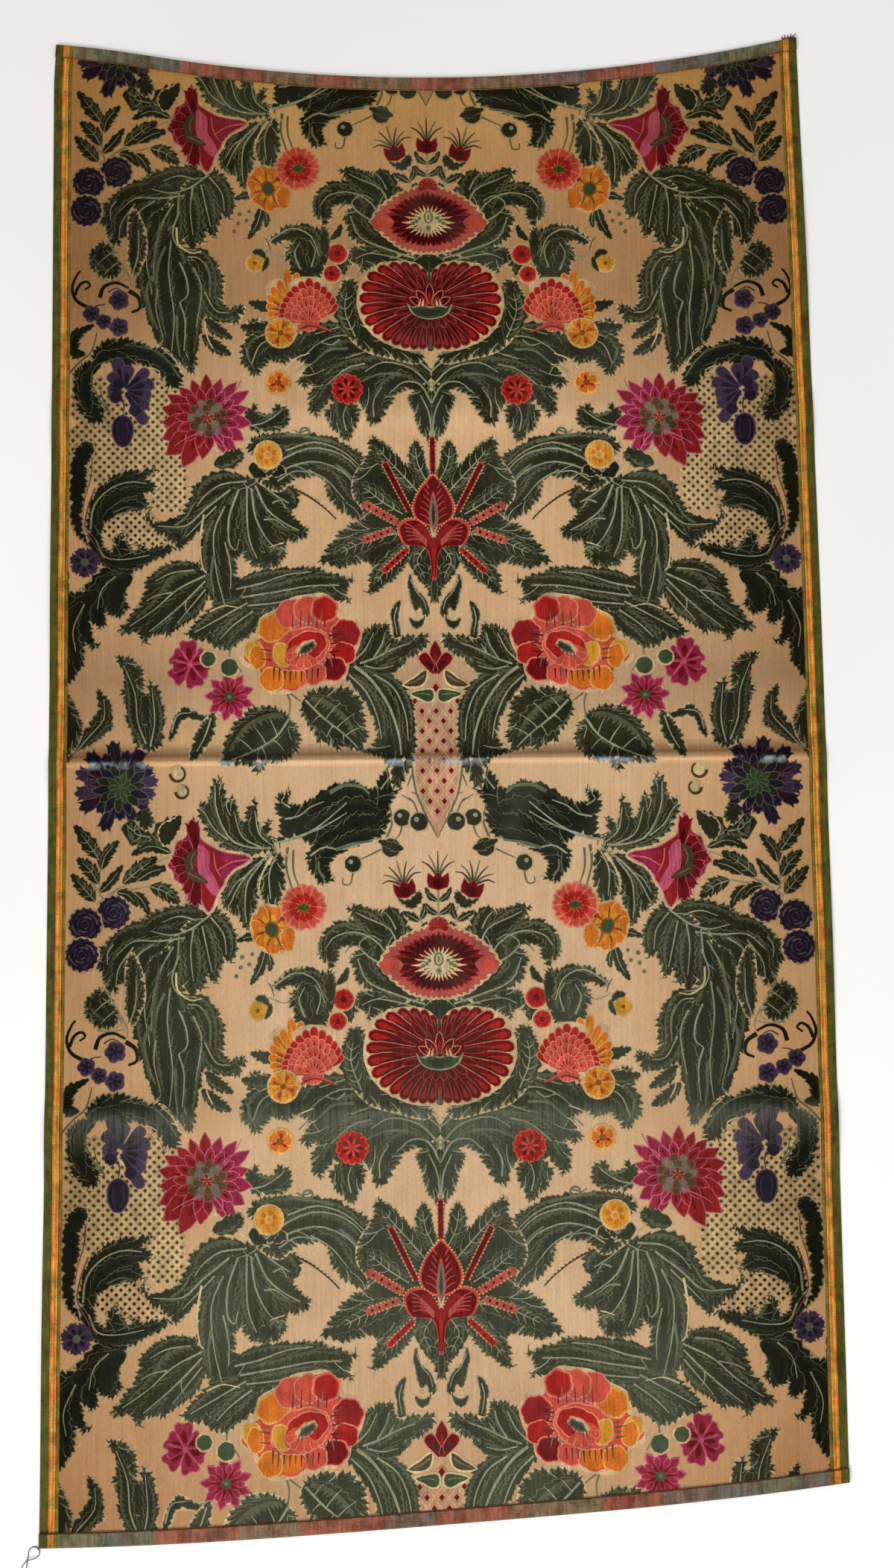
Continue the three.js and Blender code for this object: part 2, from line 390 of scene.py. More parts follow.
def veins(path, wide, tone, twigs=True):
    """A middle vein, and twigs that leave it towards the edge on both sides."""
    line = smooth(path, 25)
    thick = min(1.15, 0.45 + wide * 0.045)
    put(rib(line[1:21:2], thick, 0.45), tone)
    length = np.linalg.norm(np.diff(line, axis=0), axis=1).sum()
    if not twigs or wide < 11 or length < 18:
        return
    ways = heading(line)
    count = int(length / 8)
    for k in range(1, count):
        i = int(24 * k / count * 0.85)
        for side in (-1, 1):
            swell = np.sin(np.pi * (k / count * 0.85 + 0.1)) ** 0.7
            reach = wide * 0.36 * swell
            across = ways[i][::-1] * (-side, side)
            tip = line[i] + ways[i] * reach * 0.95 + across * reach
            middle = line[i] + ways[i] * reach * 0.35 + across * reach * 0.55
            put(rib(np.array([line[i], middle, tip]), thick * 0.72, 0.4), tone)


PETALS = {
    "round": [(0, 0.28), (0.3, 0.5), (0.62, 0.92), (0.84, 1.0), (0.96, 0.68), (1.0, 0.25)],
    "point": [(0, 0.3), (0.3, 0.72), (0.55, 1.0), (0.8, 0.7), (1.0, 0.06)],
    "strap": [(0, 0.6), (0.35, 0.8), (0.7, 1.0), (0.92, 0.85), (1.0, 0.35)],
    "notch": [(0, 0.3), (0.35, 0.62), (0.7, 0.98), (0.92, 1.0), (1.0, 0.62), (0.93, 0.12)],
    "tooth": [(0, 0.3), (0.4, 0.6), (0.72, 0.9), (0.86, 0.82), (0.95, 1.0), (0.9, 0.5), (1.0, 0.16)],
}


def petal_edge(kind, length, half):
    side = np.array(PETALS[kind]) * (length, half)
    return np.vstack([side, side[::-1] * (1, -1)])


class Spot:
    """A place on the cloth with its own turn and its own scale along and across."""

    def __init__(self, x, y, turn=0, wide=1.0, high=1.0):
        self.at = np.array([x, y], float)
        a = np.radians(turn)
        self.frame = np.array([[np.cos(a), -np.sin(a)], [np.sin(a), np.cos(a)]]) @ np.diag([wide, high])

    def put(self, points, tone):
        put(np.asarray(points, float) @ self.frame.T + self.at, tone)

    def petal(self, turn, start, end, half, kind, tones, inset=1.0, off=(0, 0)):
        """One petal from start to end out from the middle, with a body and a core inside its rim."""
        a = np.radians(turn)
        spin = np.array([[np.cos(a), -np.sin(a)], [np.sin(a), np.cos(a)]])
        length = end - start
        steps = [(length, half, 0), (length - inset, half - inset * 0.75, 0.1), (length * 0.62, half * 0.34, 0.2)]
        for (reach, side, shift), tone in zip(steps, tones):
            if tone is None or side <= 0.15:
                continue
            edge = petal_edge(kind, reach, side) + (start + shift, 0)
            self.put(edge @ spin.T + off, tone)

    def ring(self, count, start, end, half, kind, tones, first=0, inset=1.0, sweep=360):
        for k in range(count):
            self.petal(first + sweep * k / count, start, end, half, kind, tones, inset)

    def disc(self, radius, tone, count=12, off=(0, 0), lobes=0, depth=0.15):
        a = 2 * np.pi * np.arange(count) / count
        r = radius * (1 - depth * (np.arange(count) % 2) * (lobes > 0))
        self.put(np.c_[np.cos(a) * r, np.sin(a) * r] + off, tone)


def berry(x, y, r, tone="leaf", shine="vein"):
    spot = Spot(x, y)
    spot.disc(r + 1.0, "halo", 12)
    spot.disc(r, "rim", 14, lobes=1, depth=0.08)
    spot.disc(r - 0.7, tone, 12)
    if shine:
        spot.disc(r * 0.28, shine, 6, off=(-r * 0.25, r * 0.25))


def coil(x, y, r0, r1, start, sweep, wide, tone, steps=18):
    """A tendril that winds in: from radius r0 to r1 through sweep degrees."""
    a = np.radians(start + sweep * np.linspace(0, 1, steps))
    r = np.linspace(r0, r1, steps)
    put(rib(np.c_[x + np.cos(a) * r, y + np.sin(a) * r], wide, 0.6), tone)

# The repeat, left of its middle line, in millimetres. Y runs from the top of the lower repeat down.
# A row of leaves holds its width, the number of its teeth, and the points of its middle line.


def leaves(rows, depth=0.4, **how):
    """Leaves: each row holds a width, a number of teeth, then the points of a middle line, left and down."""
    blades([(-np.reshape(row[2:], (-1, 2)), row[0], row[1], depth) for row in rows], **how)


def lobes(rows, **how):
    """The lobes of a mass: leaves without a halo or veins of their own."""
    leaves(rows, vein=None, halo=False, **how)


def stems(rows, tone="vein"):
    """Thin lines: each row holds a width, then its points."""
    for row in rows:
        stroke(-np.reshape(row[1:], (-1, 2)), row[0], tone, 0.5, 2 + 2 * (len(row) // 2))


def ray(spot, turn, reach, rise=1.0):
    a = np.radians(turn)
    return spot[0] + np.cos(a) * reach, spot[1] + np.sin(a) * reach * rise


def round_edge(x, y, reaches, grow=0.0, points=0, depth=0.0, steps=60):
    """A closed outline given by how far it reaches at even turns, with saw points if asked for."""
    r = np.array(list(reaches) + [reaches[0]], float)
    if points:
        steps = points * 2
    turn = np.arange(steps) / steps
    reach = np.interp(turn, np.linspace(0, 1, len(r)), r) + grow
    if points:
        reach = reach * np.where(np.arange(steps) % 2, 1 - depth, 1)
    a = 2 * np.pi * turn
    return np.c_[x + np.cos(a) * reach, y + np.sin(a) * reach]


FAN_REACH = [52, 50, 46, 43, 38, 34, 20, 30, 36, 43, 50, 52, 52, 50, 46, 41, 38, 35, 33, 35, 38, 41, 46, 50]

DIAMOND_REACH = [43, 38, 33, 30, 28, 27, 28, 27, 28, 30, 33, 38, 43, 36, 31, 29, 26, 25, 24, 25, 26, 29, 31, 36]

FAN_PETALS = 34


def reach_at(reaches, turn):
    return np.interp(turn % 360, np.linspace(0, 360, len(reaches) + 1), list(reaches) + [reaches[0]])


def oval(x, y, wide, high, turn, tones, scallops=0, depth=0.1, inset=1.0):
    """Ovals inside each other, with scalloped edges if asked for. Sizes are half widths."""
    spot = Spot(x, y, turn)
    count = max(16, scallops * 4)
    a = 2 * np.pi * np.arange(count) / count
    edge = 1 - depth * (1 - np.abs(np.sin(a * scallops / 2))) if scallops else np.ones(count)
    for k, tone in enumerate(tones):
        w, h = wide - inset * k, high - inset * k
        spot.put(np.c_[np.cos(a) * w * edge, np.sin(a) * h * edge], tone)


def fan_flower():
    x, y = 0, -188
    spot = Spot(x, y)
    put(round_edge(x, y, FAN_REACH, 1.6), "halo")
    put(round_edge(x, y, FAN_REACH, -2.0), "maroon")
    for k in range(FAN_PETALS):
        turn = 360 * (k + 0.5) / FAN_PETALS
        if np.cos(np.radians(turn)) > 0.2:
            continue
        reach = reach_at(FAN_REACH, turn)
        half = reach * np.sin(np.pi / FAN_PETALS) * 1.14
        left = 140 < turn < 220
        if left:
            spot.petal(turn, 34, reach + 1.2, half, "round", ("cream",))
        spot.petal(turn, 14, reach, half, "strap", ("blush" if left else "dusk", "crimson"), 0.8)
        spot.petal(turn, reach * 0.56, reach - 3, half * 0.42, "round", ("red" if left else "rosewood",))
        spot.petal(turn + 2, 14, reach * 0.84, half * 0.4, "point", ("maroon",))
    for k in range(FAN_PETALS // 2):
        turn = 720 * (k + 0.25) / FAN_PETALS
        if np.cos(np.radians(turn)) < 0.2:
            reach = reach_at(FAN_REACH, turn) * (0.72 if turn < 180 else 0.55)
            spot.petal(turn, 12, reach, 2.6, "point", ("dusk", "crimson", "maroon"), 0.6)
    cup = np.array([(-16.8, -187), (-13, -190), (-7, -188.6), (0, -190), (7, -188.6), (13, -190), (16.8, -187), (14.6, -193), (9.5, -197.6),
                    (0, -199.6), (-9.5, -197.6), (-14.6, -193)])
    oval(0, -186, 18, 9, 0, ("crimson",))
    put(smooth(np.vstack([cup, cup[:1]]), 40), "vein")
    put(smooth((np.vstack([cup, cup[:1]]) - (0, -193)) * (0.88, 0.8) + (0, -193.4), 40), "green")
    put(smooth((np.vstack([cup, cup[:1]]) - (0, -193)) * (0.5, 0.5) + (0, -194), 24), "leaf")
    crown = Spot(0, -191)
    for turn, reach in ((28, 17), (152, 17), (54, 16.5), (126, 16.5), (90, 18.5)):
        crown.petal(turn, 3, reach, 3.1, "point", ("blush", "maroon", "red"), 0.8)
    for dx in (-8, -5.4, -2.2, 2.2, 5.4, 8):
        put([(dx - 0.9, -189.4), (dx + 0.9, -189.4), (dx * 0.82, -184.6 + abs(dx) * 0.12)], "cream" if abs(dx) > 4 else "dusk")
    spot.petal(270, 27, 35, 2.2, "round", ("leaf", "sheen"))
    stroke([(0, -170), (0, -156)], 2.4, "green", 0.4)


def diamond_flower():
    x, y = 0, -126
    reaches = np.array(DIAMOND_REACH)
    put(round_edge(x, y, reaches, 1.2, 40, 0.03), "halo")
    put(round_edge(x, y, reaches, 0, 40, 0.08), "rosy")
    put(round_edge(x, y, reaches * 0.9, -2.5, 40, 0.14), "claret")
    spot = Spot(x, y)
    for k in range(30):
        turn = 360 * (k + 0.5) / 30
        reach = reach_at(DIAMOND_REACH, turn)
        if np.cos(np.radians(turn)) < 0.15:
            spot.petal(turn, reach * 0.3, reach * 0.78, 1.9, "point", ("maroon",))
    put(round_edge(x, y, reaches * 0.54, 0, 30, 0.3), "crimson")
    put(leaf_edge([(-25, -126.5), (-34, -127), (-41.5, -126.6)], 13, 3, 0.25), "rosy")
    put(leaf_edge([(-29, -126.5), (-35, -127), (-40, -126.6)], 7, 3, 0.3), "coral")
    put(round_edge(x, y - 1, [20, 17, 15, 14, 13, 14, 15, 17, 20, 17, 14, 12, 12, 12, 14, 17], 0, 24, 0.4), "cream")
    for k in range(24):
        turn = 360 * (k + 0.5) / 24
        if np.cos(np.radians(turn)) < 0.15:
            spot.petal(turn, 7.5, 0.34 * reach_at(DIAMOND_REACH, turn), 0.45, "round", ("umber",))
    for dx, dy in ((-8.5, 0), (-6.5, 2.2), (-11, -1.4)):
        Spot(x + dx, y + dy).disc(1.5, "moss", 6)
    oval(0, -123, 3.4, 5, 0, ("moss", "straw", "moss"), 0, 0, 1.3)
    oval(0, -131, 2.2, 2.6, 0, ("vein", "moss"), 0, 0, 1.0)
    for k in range(5):
        Spot(0, -101).petal(90 + 24 * k, 0, 7.5, 2.4, "round", ("rosy", "claret"), 0.9)


def feather_tulip(x, y, turn, size, rays):
    spot = Spot(x, y, turn)
    for k in range(rays):
        a = (k - (rays - 1) / 2) * 21
        tip = ray((0, size * 0.1), 90 + a, size * (1.6 - abs(a) / 200))
        mid = ray((0, size * 0.1), 90 + a * 0.75, size * 0.9)
        line = smooth([(0, size * 0.2), mid, tip], 6)
        spot.put(rib(line, 1.7, 0.3), "moss" if k % 2 else "umber")
    w, h = size * 0.5, size * 0.9
    cup = [(0, -h * 0.5), (-w, -h * 0.32), (-w * 1.15, h * 0.05), (-w * 1.05, h * 0.5), (-w * 0.45, h * 0.25), (0, h * 0.55)]
    cup = np.array(cup)
    both = np.vstack([cup, cup[-2:0:-1] * (-1, 1)])
    spot.put(both * 1.1, "rosewood")
    spot.put(both, "crimson")
    spot.put(both * (0.5, 0.6) - (0, size * 0.1), "maroon")


def tulips():
    stems([(1.6, 14, 84, 12, 95, 14, 106), (1.6, 0, 74, 0, 88, 0, 100)])
    leaves([
        (5, 2, 0, 83, 6, 79, 9, 73), (5, 2, 0, 92, 6, 89, 9, 84), (6, 2, 13, 97, 19, 93, 25, 90),
        (5, 2, 13, 96, 10, 90, 10, 84), (4, 0, 14, 104, 10, 100, 8, 97), (6, 2, 14, 106, 20, 104, 24, 98),
    ])
    mass([29, 78, 27, 83, 22, 87, 15, 87, 11, 80, 13, 75, 18, 79, 24, 82])
    feather_tulip(0, -69, 0, 12.5, 5)
    feather_tulip(-23.4, -74.5, 16, 12.5, 7)


def curled_acanthus():
    mass([
        62, 84, 64, 90, 58, 96, 68, 98, 78, 103, 84, 112, 83, 121, 75, 129, 71, 121, 69, 114, 60, 111, 56,
        116, 62, 120, 60, 130, 55, 141, 44, 144, 32, 148, 18, 156, 12, 150, 24, 143, 36, 132, 40, 120, 30,
        112, 23, 103, 25, 94, 33, 87, 41, 89, 50, 87,
    ])
    mass([
        52, 144, 59, 150, 60, 160, 53, 157, 49, 165, 42, 160, 30, 160, 14, 163, 0, 172, -6, 160, 0, 150,
        18, 152, 34, 147,
    ])
    lobes([
        (14, 6, 34, 106, 44, 98, 52, 92, 60, 88), (14, 6, 28, 112, 28, 102, 30, 94, 36, 87),
        (13, 6, 44, 112, 58, 102, 70, 102, 78, 110, 76, 124), (13, 6, 46, 116, 56, 108, 64, 108, 72, 112),
        (14, 6, 22, 150, 36, 142, 48, 134, 56, 122), (12, 5, 34, 138, 42, 128, 44, 116, 36, 110),
    ])
    stems([
        (1.5, 10, 154, 30, 147, 50, 138, 57, 122), (1.4, 30, 136, 40, 114, 56, 104, 72, 106, 79, 114),
        (1.3, 40, 126, 50, 120, 56, 112, 48, 106, 40, 110), (1.3, 28, 116, 34, 102, 50, 94, 58, 90),
        (1.2, 30, 102, 34, 94, 38, 90), (1.2, 16, 156, 30, 152, 44, 150, 54, 154),
    ])
    stems([
        (1, 70, 103, 77, 103), (1, 62, 101, 68, 97), (1.8, 82, 106, 84, 114, 82, 122),
        (1, 60, 110, 66, 118),
    ], "moss")


def small_reds():
    mass([
        118, 142, 113, 136, 105, 129.5, 97, 128, 90, 130, 84, 136, 79, 131, 74, 130, 74, 140, 72, 150, 77,
        159, 79, 168, 100, 168, 101, 160, 105, 152, 104, 146, 99, 142, 104, 139.5, 110, 142,
    ])
    leaves([(10, 4, 70, 148, 63, 158, 68, 168), (6, 2, 72, 140, 66, 134, 64, 128)], vein=None)
    for x, y, r in ((-67, -150, 7), (-71, -165, 6)):
        spot = Spot(x, y, 20)
        spot.disc(r + 1.3, "halo", 12)
        spot.ring(5, 0, r, r * 0.62, "round", ("coral", "red"), 18)
        spot.disc(r * 0.34, "crimson", 8)
    lobes([
        (13, 6, 76, 158, 80, 142, 92, 133, 114, 140), (12, 5, 76, 152, 78, 140, 76, 132),
        (11, 5, 90, 164, 96, 150, 98, 142), (11, 4, 84, 160, 84, 150, 88, 140),
    ])
    stems([
        (1.4, 116, 140, 100, 131, 86, 137, 80, 152), (1.2, 94, 162, 98, 150, 94, 141),
        (1.2, 86, 160, 83, 148, 87, 140), (1, 119, 148, 108, 152, 100, 148),
    ])
    spot = Spot(-127, -157)
    spot.disc(7.4, "halo", 14)
    spot.ring(5, 0, 6.4, 3.2, "round", ("peach", "gold"), 30, 0.8)
    spot.disc(1.6, "amber", 6)
    lobes([(5, 0, 129, 149, 123, 149, 119, 154), (4, 0, 118, 152, 119, 158, 122, 163)])
    leaves([
        (7, 3, 120, 112, 131, 106, 142, 109), (8, 3, 121, 112, 125, 127, 132, 139),
        (5, 2, 119, 118, 118, 125, 119, 130),
    ])
    for x, y, r in ((-138, -120, 1.7), (-133, -125, 1.5), (-139, -127, 1.6), (-142, -133, 1.6), (-131, -118, 1.4)):
        Spot(x, y).disc(r, "moss", 6)


def daisies():
    poppy = Spot(-117, -101, 24, 0.95, 1.15)
    poppy.disc(16, "halo", 20)
    poppy.ring(7, 0, 15.5, 7.2, "notch", ("peach", "orange", "gold"), 10, 1.1)
    poppy.ring(7, 5, 12, 0.9, "point", ("amber",), 20)
    poppy.disc(5.4, "amber", 10)
    poppy.disc(4.2, "green", 9)
    Spot(-109, -93).disc(2.3, "rosewood", 7)
    leaves([
        (10, 0, 104, 100, 106, 108, 104, 116), (9, 0, 100, 88, 106, 84, 112, 82),
    ], tone="orange", rim="peach", vein=None)
    daisy = Spot(-95, -86)
    daisy.disc(15, "halo", 20)
    daisy.ring(11, 0, 16.4, 4.6, "notch", ("blush", "coral", "red"), 14, 1.3)
    daisy.ring(11, 3, 10, 1.1, "point", ("red",), 30)
    daisy.disc(4.4, "amber", 10)
    daisy.put(petal_edge("point", 8, 2.3) - (4, 0), "green")


def carnation():
    mass([
        60, 168, 66, 178, 68, 192, 62, 208, 48, 222, 28, 228, 10, 232, 6, 224, 24, 216, 40, 208, 48, 192,
        50, 176,
    ])
    leaves([(17, 7, 54, 214, 62, 192, 58, 170)], vein="vein", halo=False)
    gold = Spot(-100, -197)
    gold.petal(118, -2, 31, 9, "round", ("halo",))
    for turn, reach, half in ((84, 33, 3.2), (97, 35, 3.4), (111, 29, 3.2), (125, 27, 3.4), (140, 24, 3.4), (156, 21, 3.4), (173, 19, 3.2), (190, 17, 3)):
        gold.petal(turn, 0, reach, half, "round", ("peach", "orange"), 0.8)
        gold.petal(turn, 6, reach - 5, half * 0.4, "point", ("gold" if reach > 26 else "amber",))
    spot = Spot(-88, -201)
    spot.petal(88, -3, 34, 16, "round", ("halo",))
    for reach, half, start, step in ((33, 3.6, 28, 11.6), (27, 3.3, 34, 12.6), (20, 3, 24, 14.5), (12.5, 2.6, 18, 21)):
        for k in range(int((180 - start) / step)):
            turn = start + step * (k + 0.3)
            far = reach * (1 - 0.3 * abs(np.cos(np.radians(turn))))
            spot.petal(turn, 1, far, half, "round", ("blush", "red" if reach > 30 else "coral"), 0.7)
            spot.petal(turn, 4, far - 3, half * 0.3, "point", ("claret",))
    for turn in range(196, 350, 24):
        spot.petal(turn, 0, 7.5, 2.4, "round", ("blush", "coral"), 0.7)
    stems([(3, 96, 205, 86, 203, 72, 208), (2.2, 97, 208, 92, 205, 86, 200)], "rosy")
    stems([(1.3, 95, 206, 86, 204, 75, 208)], "claret")
    spot = Spot(-109, -209)
    spot.disc(11.6, "halo", 18)
    for k in range(8):
        turn = 45 * k + 22
        spot.petal(turn, 1, 10.8, 4.3, "notch", ("peach", "orange" if k % 2 else "gold"), 0.9)
        spot.petal(turn, 3, 8, 1.3, "round", ("amber" if k % 2 else "orange",))
    spot.disc(2.2, "amber", 8)


def leaves_under_fan():
    mass([
        134, 202, 124, 198, 118, 206, 112, 214, 100, 212, 86, 206, 74, 203, 60, 206, 44, 215, 24, 219, 10,
        226, 0, 237, 0, 262, 6, 254, 16, 251, 26, 256, 32, 267, 43, 279, 49, 266, 54, 262, 76, 262, 82,
        271, 88, 268, 89, 256, 85, 247, 92, 250, 97, 245, 91, 235, 98, 228, 108, 232, 116, 229, 122, 235,
        127, 241, 133, 236, 139, 226, 134, 212,
    ])
    mass([76, 264, 75, 276, 68, 284, 61, 289, 56, 280, 52, 268, 60, 260])
    mass([0, 250, 10, 251, 17, 258, 13, 268, 10, 280, 3, 290, 0, 292])
    lobes([
        (15, 6, 58, 208, 74, 207, 88, 212, 96, 222), (18, 7, 2, 236, 22, 224, 46, 219, 70, 222, 86, 234),
        (16, 7, 100, 214, 118, 212, 130, 222, 128, 238),
        (19, 8, 2, 246, 24, 234, 46, 233, 66, 236, 84, 248), (14, 6, 40, 236, 58, 240, 74, 250, 84, 264),
        (14, 6, 4, 252, 22, 244, 36, 252, 43, 272), (12, 5, 66, 254, 66, 268, 62, 284),
        (13, 5, 34, 222, 48, 212, 62, 210, 78, 216),
    ])
    leaves([(11, 4, 112, 203, 126, 206, 138, 204), (9, 4, 112, 193, 122, 189, 132, 186)], vein=None)
    stems([
        (1.6, 0, 262, 8, 248, 20, 246, 30, 254), (1.5, 0, 250, 14, 236, 34, 231, 48, 238),
        (1.5, 0, 238, 16, 226, 40, 222, 62, 228), (1.3, 48, 216, 64, 211, 80, 216, 92, 226),
        (1.3, 40, 214, 58, 204, 70, 206, 84, 210), (1.2, 66, 214, 72, 218, 80, 216),
        (1.3, 48, 232, 62, 236, 76, 248), (1.2, 62, 282, 64, 272, 62, 264),
        (1.2, 42, 272, 42, 260, 36, 250), (1.4, 0, 290, 2, 270, 8, 256),
        (1.2, 130, 232, 124, 218, 112, 212), (1.1, 98, 238, 90, 232, 84, 240),
    ])
    stems([
        (1.6, 0, 236, 6, 226, 16, 220), (1.4, 106, 236, 98, 228, 88, 224),
        (1.0, 96, 241, 90, 234, 86, 232),
    ], "cream")
    stems([
        (2.2, 60, 221, 74, 222, 86, 232), (2.2, 22, 240, 38, 240, 52, 246),
        (2.0, 134, 220, 132, 228, 128, 236),
    ], "moss")
    spot = Spot(-61, -251, 10)
    spot.disc(11.2, "maroon", 16)
    spot.ring(7, 0, 11.6, 4.4, "notch", ("coral", "red"), 12, 1.1)
    spot.ring(7, 3, 8.4, 1.2, "point", ("maroon",), 38)
    spot.ring(7, 1, 6.5, 0.8, "point", ("coral",), 12)
    spot = Spot(-111, -246)
    spot.ring(5, 0, 9.5, 4.8, "round", ("peach", "orange"), 8, 2)
    spot.disc(2.6, "amber", 8)
    spot.ring(3, 2, 6, 1.2, "point", ("red",), 80)


def trumpet():
    bell = [-132, -52, -136, -49, -146, -47.5, -154, -45.5, -160, -42, -166, -38, -170, -30, -172, -21, -176, -28, -178, -36, -184, -39, -186, -46,
            -188, -52, -191, -56, -187, -60, -186, -65, -181, -69, -178, -72, -176, -77, -177, -81, -171, -79, -167, -80, -165, -85, -161, -89,
            -157, -82, -155, -75, -151, -70, -149, -64, -144, -59, -138, -56]
    for grow, tone in ((1.8, "halo"), (0, "pink"), (-0.8, "claret")):
        put(mass_edge(np.reshape(bell, (-1, 2)), grow, 0), tone)
    cup = Spot(-168, -54)
    for turn, reach, half in ((101, 31, 5.4), (128, 20, 4.6), (152, 19, 4.4), (176, 21, 4.4), (200, 19, 4.4), (224, 20, 4.6), (246, 24, 4.6), (264, 31, 5)):
        cup.petal(turn, 5, reach, half, "tooth", ("rose", "crimson", "claret"), 0.9)
        cup.petal(turn, 4, reach * 0.7, half * 0.4, "point", ("maroon",))
    put(mass_edge([(-169, -41), (-163, -44.5), (-160.5, -51), (-161, -58), (-157, -65), (-154, -72), (-158, -77), (-165, -68), (-169, -60),
                   (-169.5, -50)], 0, 0), "rose")
    put(leaf_edge([(-136, -52), (-146, -52), (-156, -49)], 7, 4, 0.4), "magenta")
    put(leaf_edge([(-142, -54), (-149, -60), (-154, -68)], 6, 4, 0.4), "magenta")
    stems([
        (1.4, 134, 52, 146, 54, 156, 60), (1.2, 158, 47, 157, 56, 153, 64),
        (1.0, 166, 44, 165, 56, 161, 68),
    ], "pink")
    put(leaf_edge([(-174, -62), (-175, -53), (-171, -44)], 8, 4, 0.4), "umber")
    put(leaf_edge([(-178, -60), (-171, -64), (-162, -68)], 6.4, 4, 0.4), "umber")
    stems([(1.0, 173, 58, 174, 52, 171, 46), (1.0, 176, 61, 170, 64, 164, 67)], "moss")
    put(mass_edge([(-181, -20), (-186, -23), (-194, -27), (-197, -34), (-192, -42), (-186, -36), (-182, -29)], 1.0, 0), "halo")
    put(mass_edge([(-181, -20), (-186, -23), (-194, -27), (-197, -34), (-192, -42), (-186, -36), (-182, -29)], 0, 0.6), "leaf")


def leaves_right_of_trumpet():
    mass([
        114, 42, 118, 36, 119, 24, 124, 30, 127, 26, 129, 9, 135, 18, 137, 26, 141, 20, 144, 8, 149, 12,
        151, -2, 156, -6, 161, 6, 162, 12, 168, 12, 168, 22, 162, 34, 151, 44, 136, 49, 122, 47,
    ])
    mass([
        114, 46, 122, 50, 136, 54, 146, 62, 150, 70, 153, 80, 148, 88, 141, 92, 134, 102, 130, 90, 127,
        80, 128, 66, 122, 56,
    ])
    mass([112, 46, 121, 56, 126, 68, 124, 78, 117, 88, 110, 78, 108, 62])
    lobes([
        (10, 4, 122, 45, 140, 42, 156, 32, 165, 16), (10, 4, 138, 42, 150, 30, 156, 14, 156, -2),
        (9, 4, 134, 42, 143, 30, 144, 12), (8, 3, 118, 43, 129, 32, 129, 14),
        (12, 5, 122, 51, 136, 60, 144, 72, 149, 84), (12, 5, 122, 53, 132, 66, 136, 82, 134, 98),
    ])
    stems([
        (1.6, 114, 44, 130, 44, 146, 38, 156, 18, 157, 0), (1.3, 124, 44, 138, 36, 144, 18),
        (1.3, 116, 43, 126, 34, 129, 18), (1.2, 148, 38, 158, 30, 165, 18),
        (1.5, 114, 46, 128, 56, 140, 70, 147, 84), (1.3, 124, 54, 134, 68, 136, 84, 135, 96),
        (1.3, 113, 48, 119, 62, 118, 80), (1.1, 136, 64, 142, 68, 148, 78),
    ])
    stems([(2.0, 106, 44, 107, 58, 102, 76), (1.6, 102, 46, 102, 60, 98, 72)], "moss")
    stems([(1.6, 116, 50, 124, 62, 127, 76), (1.2, 109, 47, 104, 52)], "cream")


def dark_scroll():
    mass([
        118, 42, 112, 36, 112, 24, 115, 13, 110, 5, 103, 6, 106, 12, 99, 14, 88, 10, 78, 7, 68, 0, 58, -2,
        47, 4, 40, -5, 33, -14, 24, -8, 26, 4, 33, 13, 34, 26, 40, 37, 54, 40, 66, 44, 74, 52, 77, 60, 73,
        66, 82, 70, 89, 62, 93, 52, 90, 42, 102, 37,
    ], "dark")
    lobes([
        (14, 6, 92, 22, 82, 12, 70, 6, 56, 5, 48, 12), (15, 6, 94, 30, 76, 24, 62, 16, 50, 16, 40, 22),
        (16, 6, 86, 40, 70, 36, 56, 28, 46, 28, 36, 18), (12, 5, 84, 50, 74, 46, 64, 40, 50, 36, 42, 34),
    ], tone="dark")
    stems([
        (1.7, 116, 41, 98, 37, 82, 28, 64, 13), (1.5, 104, 38, 86, 32, 74, 26, 64, 20),
        (1.5, 90, 50, 80, 44, 68, 46, 52, 41, 40, 38), (1.3, 108, 24, 98, 22, 90, 16, 80, 12),
        (1.2, 104, 16, 110, 12, 108, 8), (1.1, 40, 4, 34, -4, 30, -10),
    ])
    stems([
        (3.0, 76, 6, 66, 1, 54, 2, 48, 7), (2.6, 72, 46, 60, 42, 46, 40), (2.2, 80, 66, 84, 60, 84, 54),
    ], "moss")
    stems([(1.8, 36, 38, 32, 27, 34, 14)], "moss")
    for x, y, r in ((-25, -24, 6.4), (-13, -27, 6.8), (-33, -45, 7.0), (-60, -56, 6.2)):
        berry(x, y, r)
    lobes([(7, 2, 24, 46, 32, 44, 42, 40)])
    stems([
        (1.2, 14, 20, 17, 13, 20, 10), (1.2, 25, 30, 27, 36, 31, 40), (1.2, 40, 46, 48, 50, 55, 53),
        (1.2, 10, 20, 12, 10, 18, 6), (1.1, 17, 13, 25, 8), (1.3, 60, 62, 62, 70, 67, 70, 67, 66),
    ], "moss")


def leafy_sprig():
    stems([
        (1.6, 240, 82, 226, 72, 210, 64, 196, 52, 184, 50), (1.4, 238, 76, 238, 58, 234, 48),
        (1.4, 226, 72, 214, 72, 204, 70), (1.2, 236, 78, 246, 62, 250, 50),
        (1.3, 196, 46, 200, 38, 204, 30),
    ])
    leaves([
        (12, 4, 239, 50, 246, 40, 256, 27), (10, 4, 237, 58, 234, 48, 225, 38),
        (11, 4, 239, 68, 245, 58, 254, 50), (8, 3, 238, 74, 230, 66, 222, 55),
        (11, 4, 241, 80, 248, 72, 258, 61), (9, 3, 188, 47, 202, 42, 216, 48),
        (17, 5, 194, 43, 194, 34, 181, 21), (12, 4, 222, 68, 210, 58, 198, 50),
        (9, 3, 212, 66, 202, 60, 190, 57), (12, 4, 203, 70, 192, 74, 182, 82),
        (8, 3, 214, 74, 208, 80, 203, 90), (8, 3, 226, 74, 218, 76, 211, 84),
        (18, 5, 202, 36, 214, 32, 208, 19),
    ])


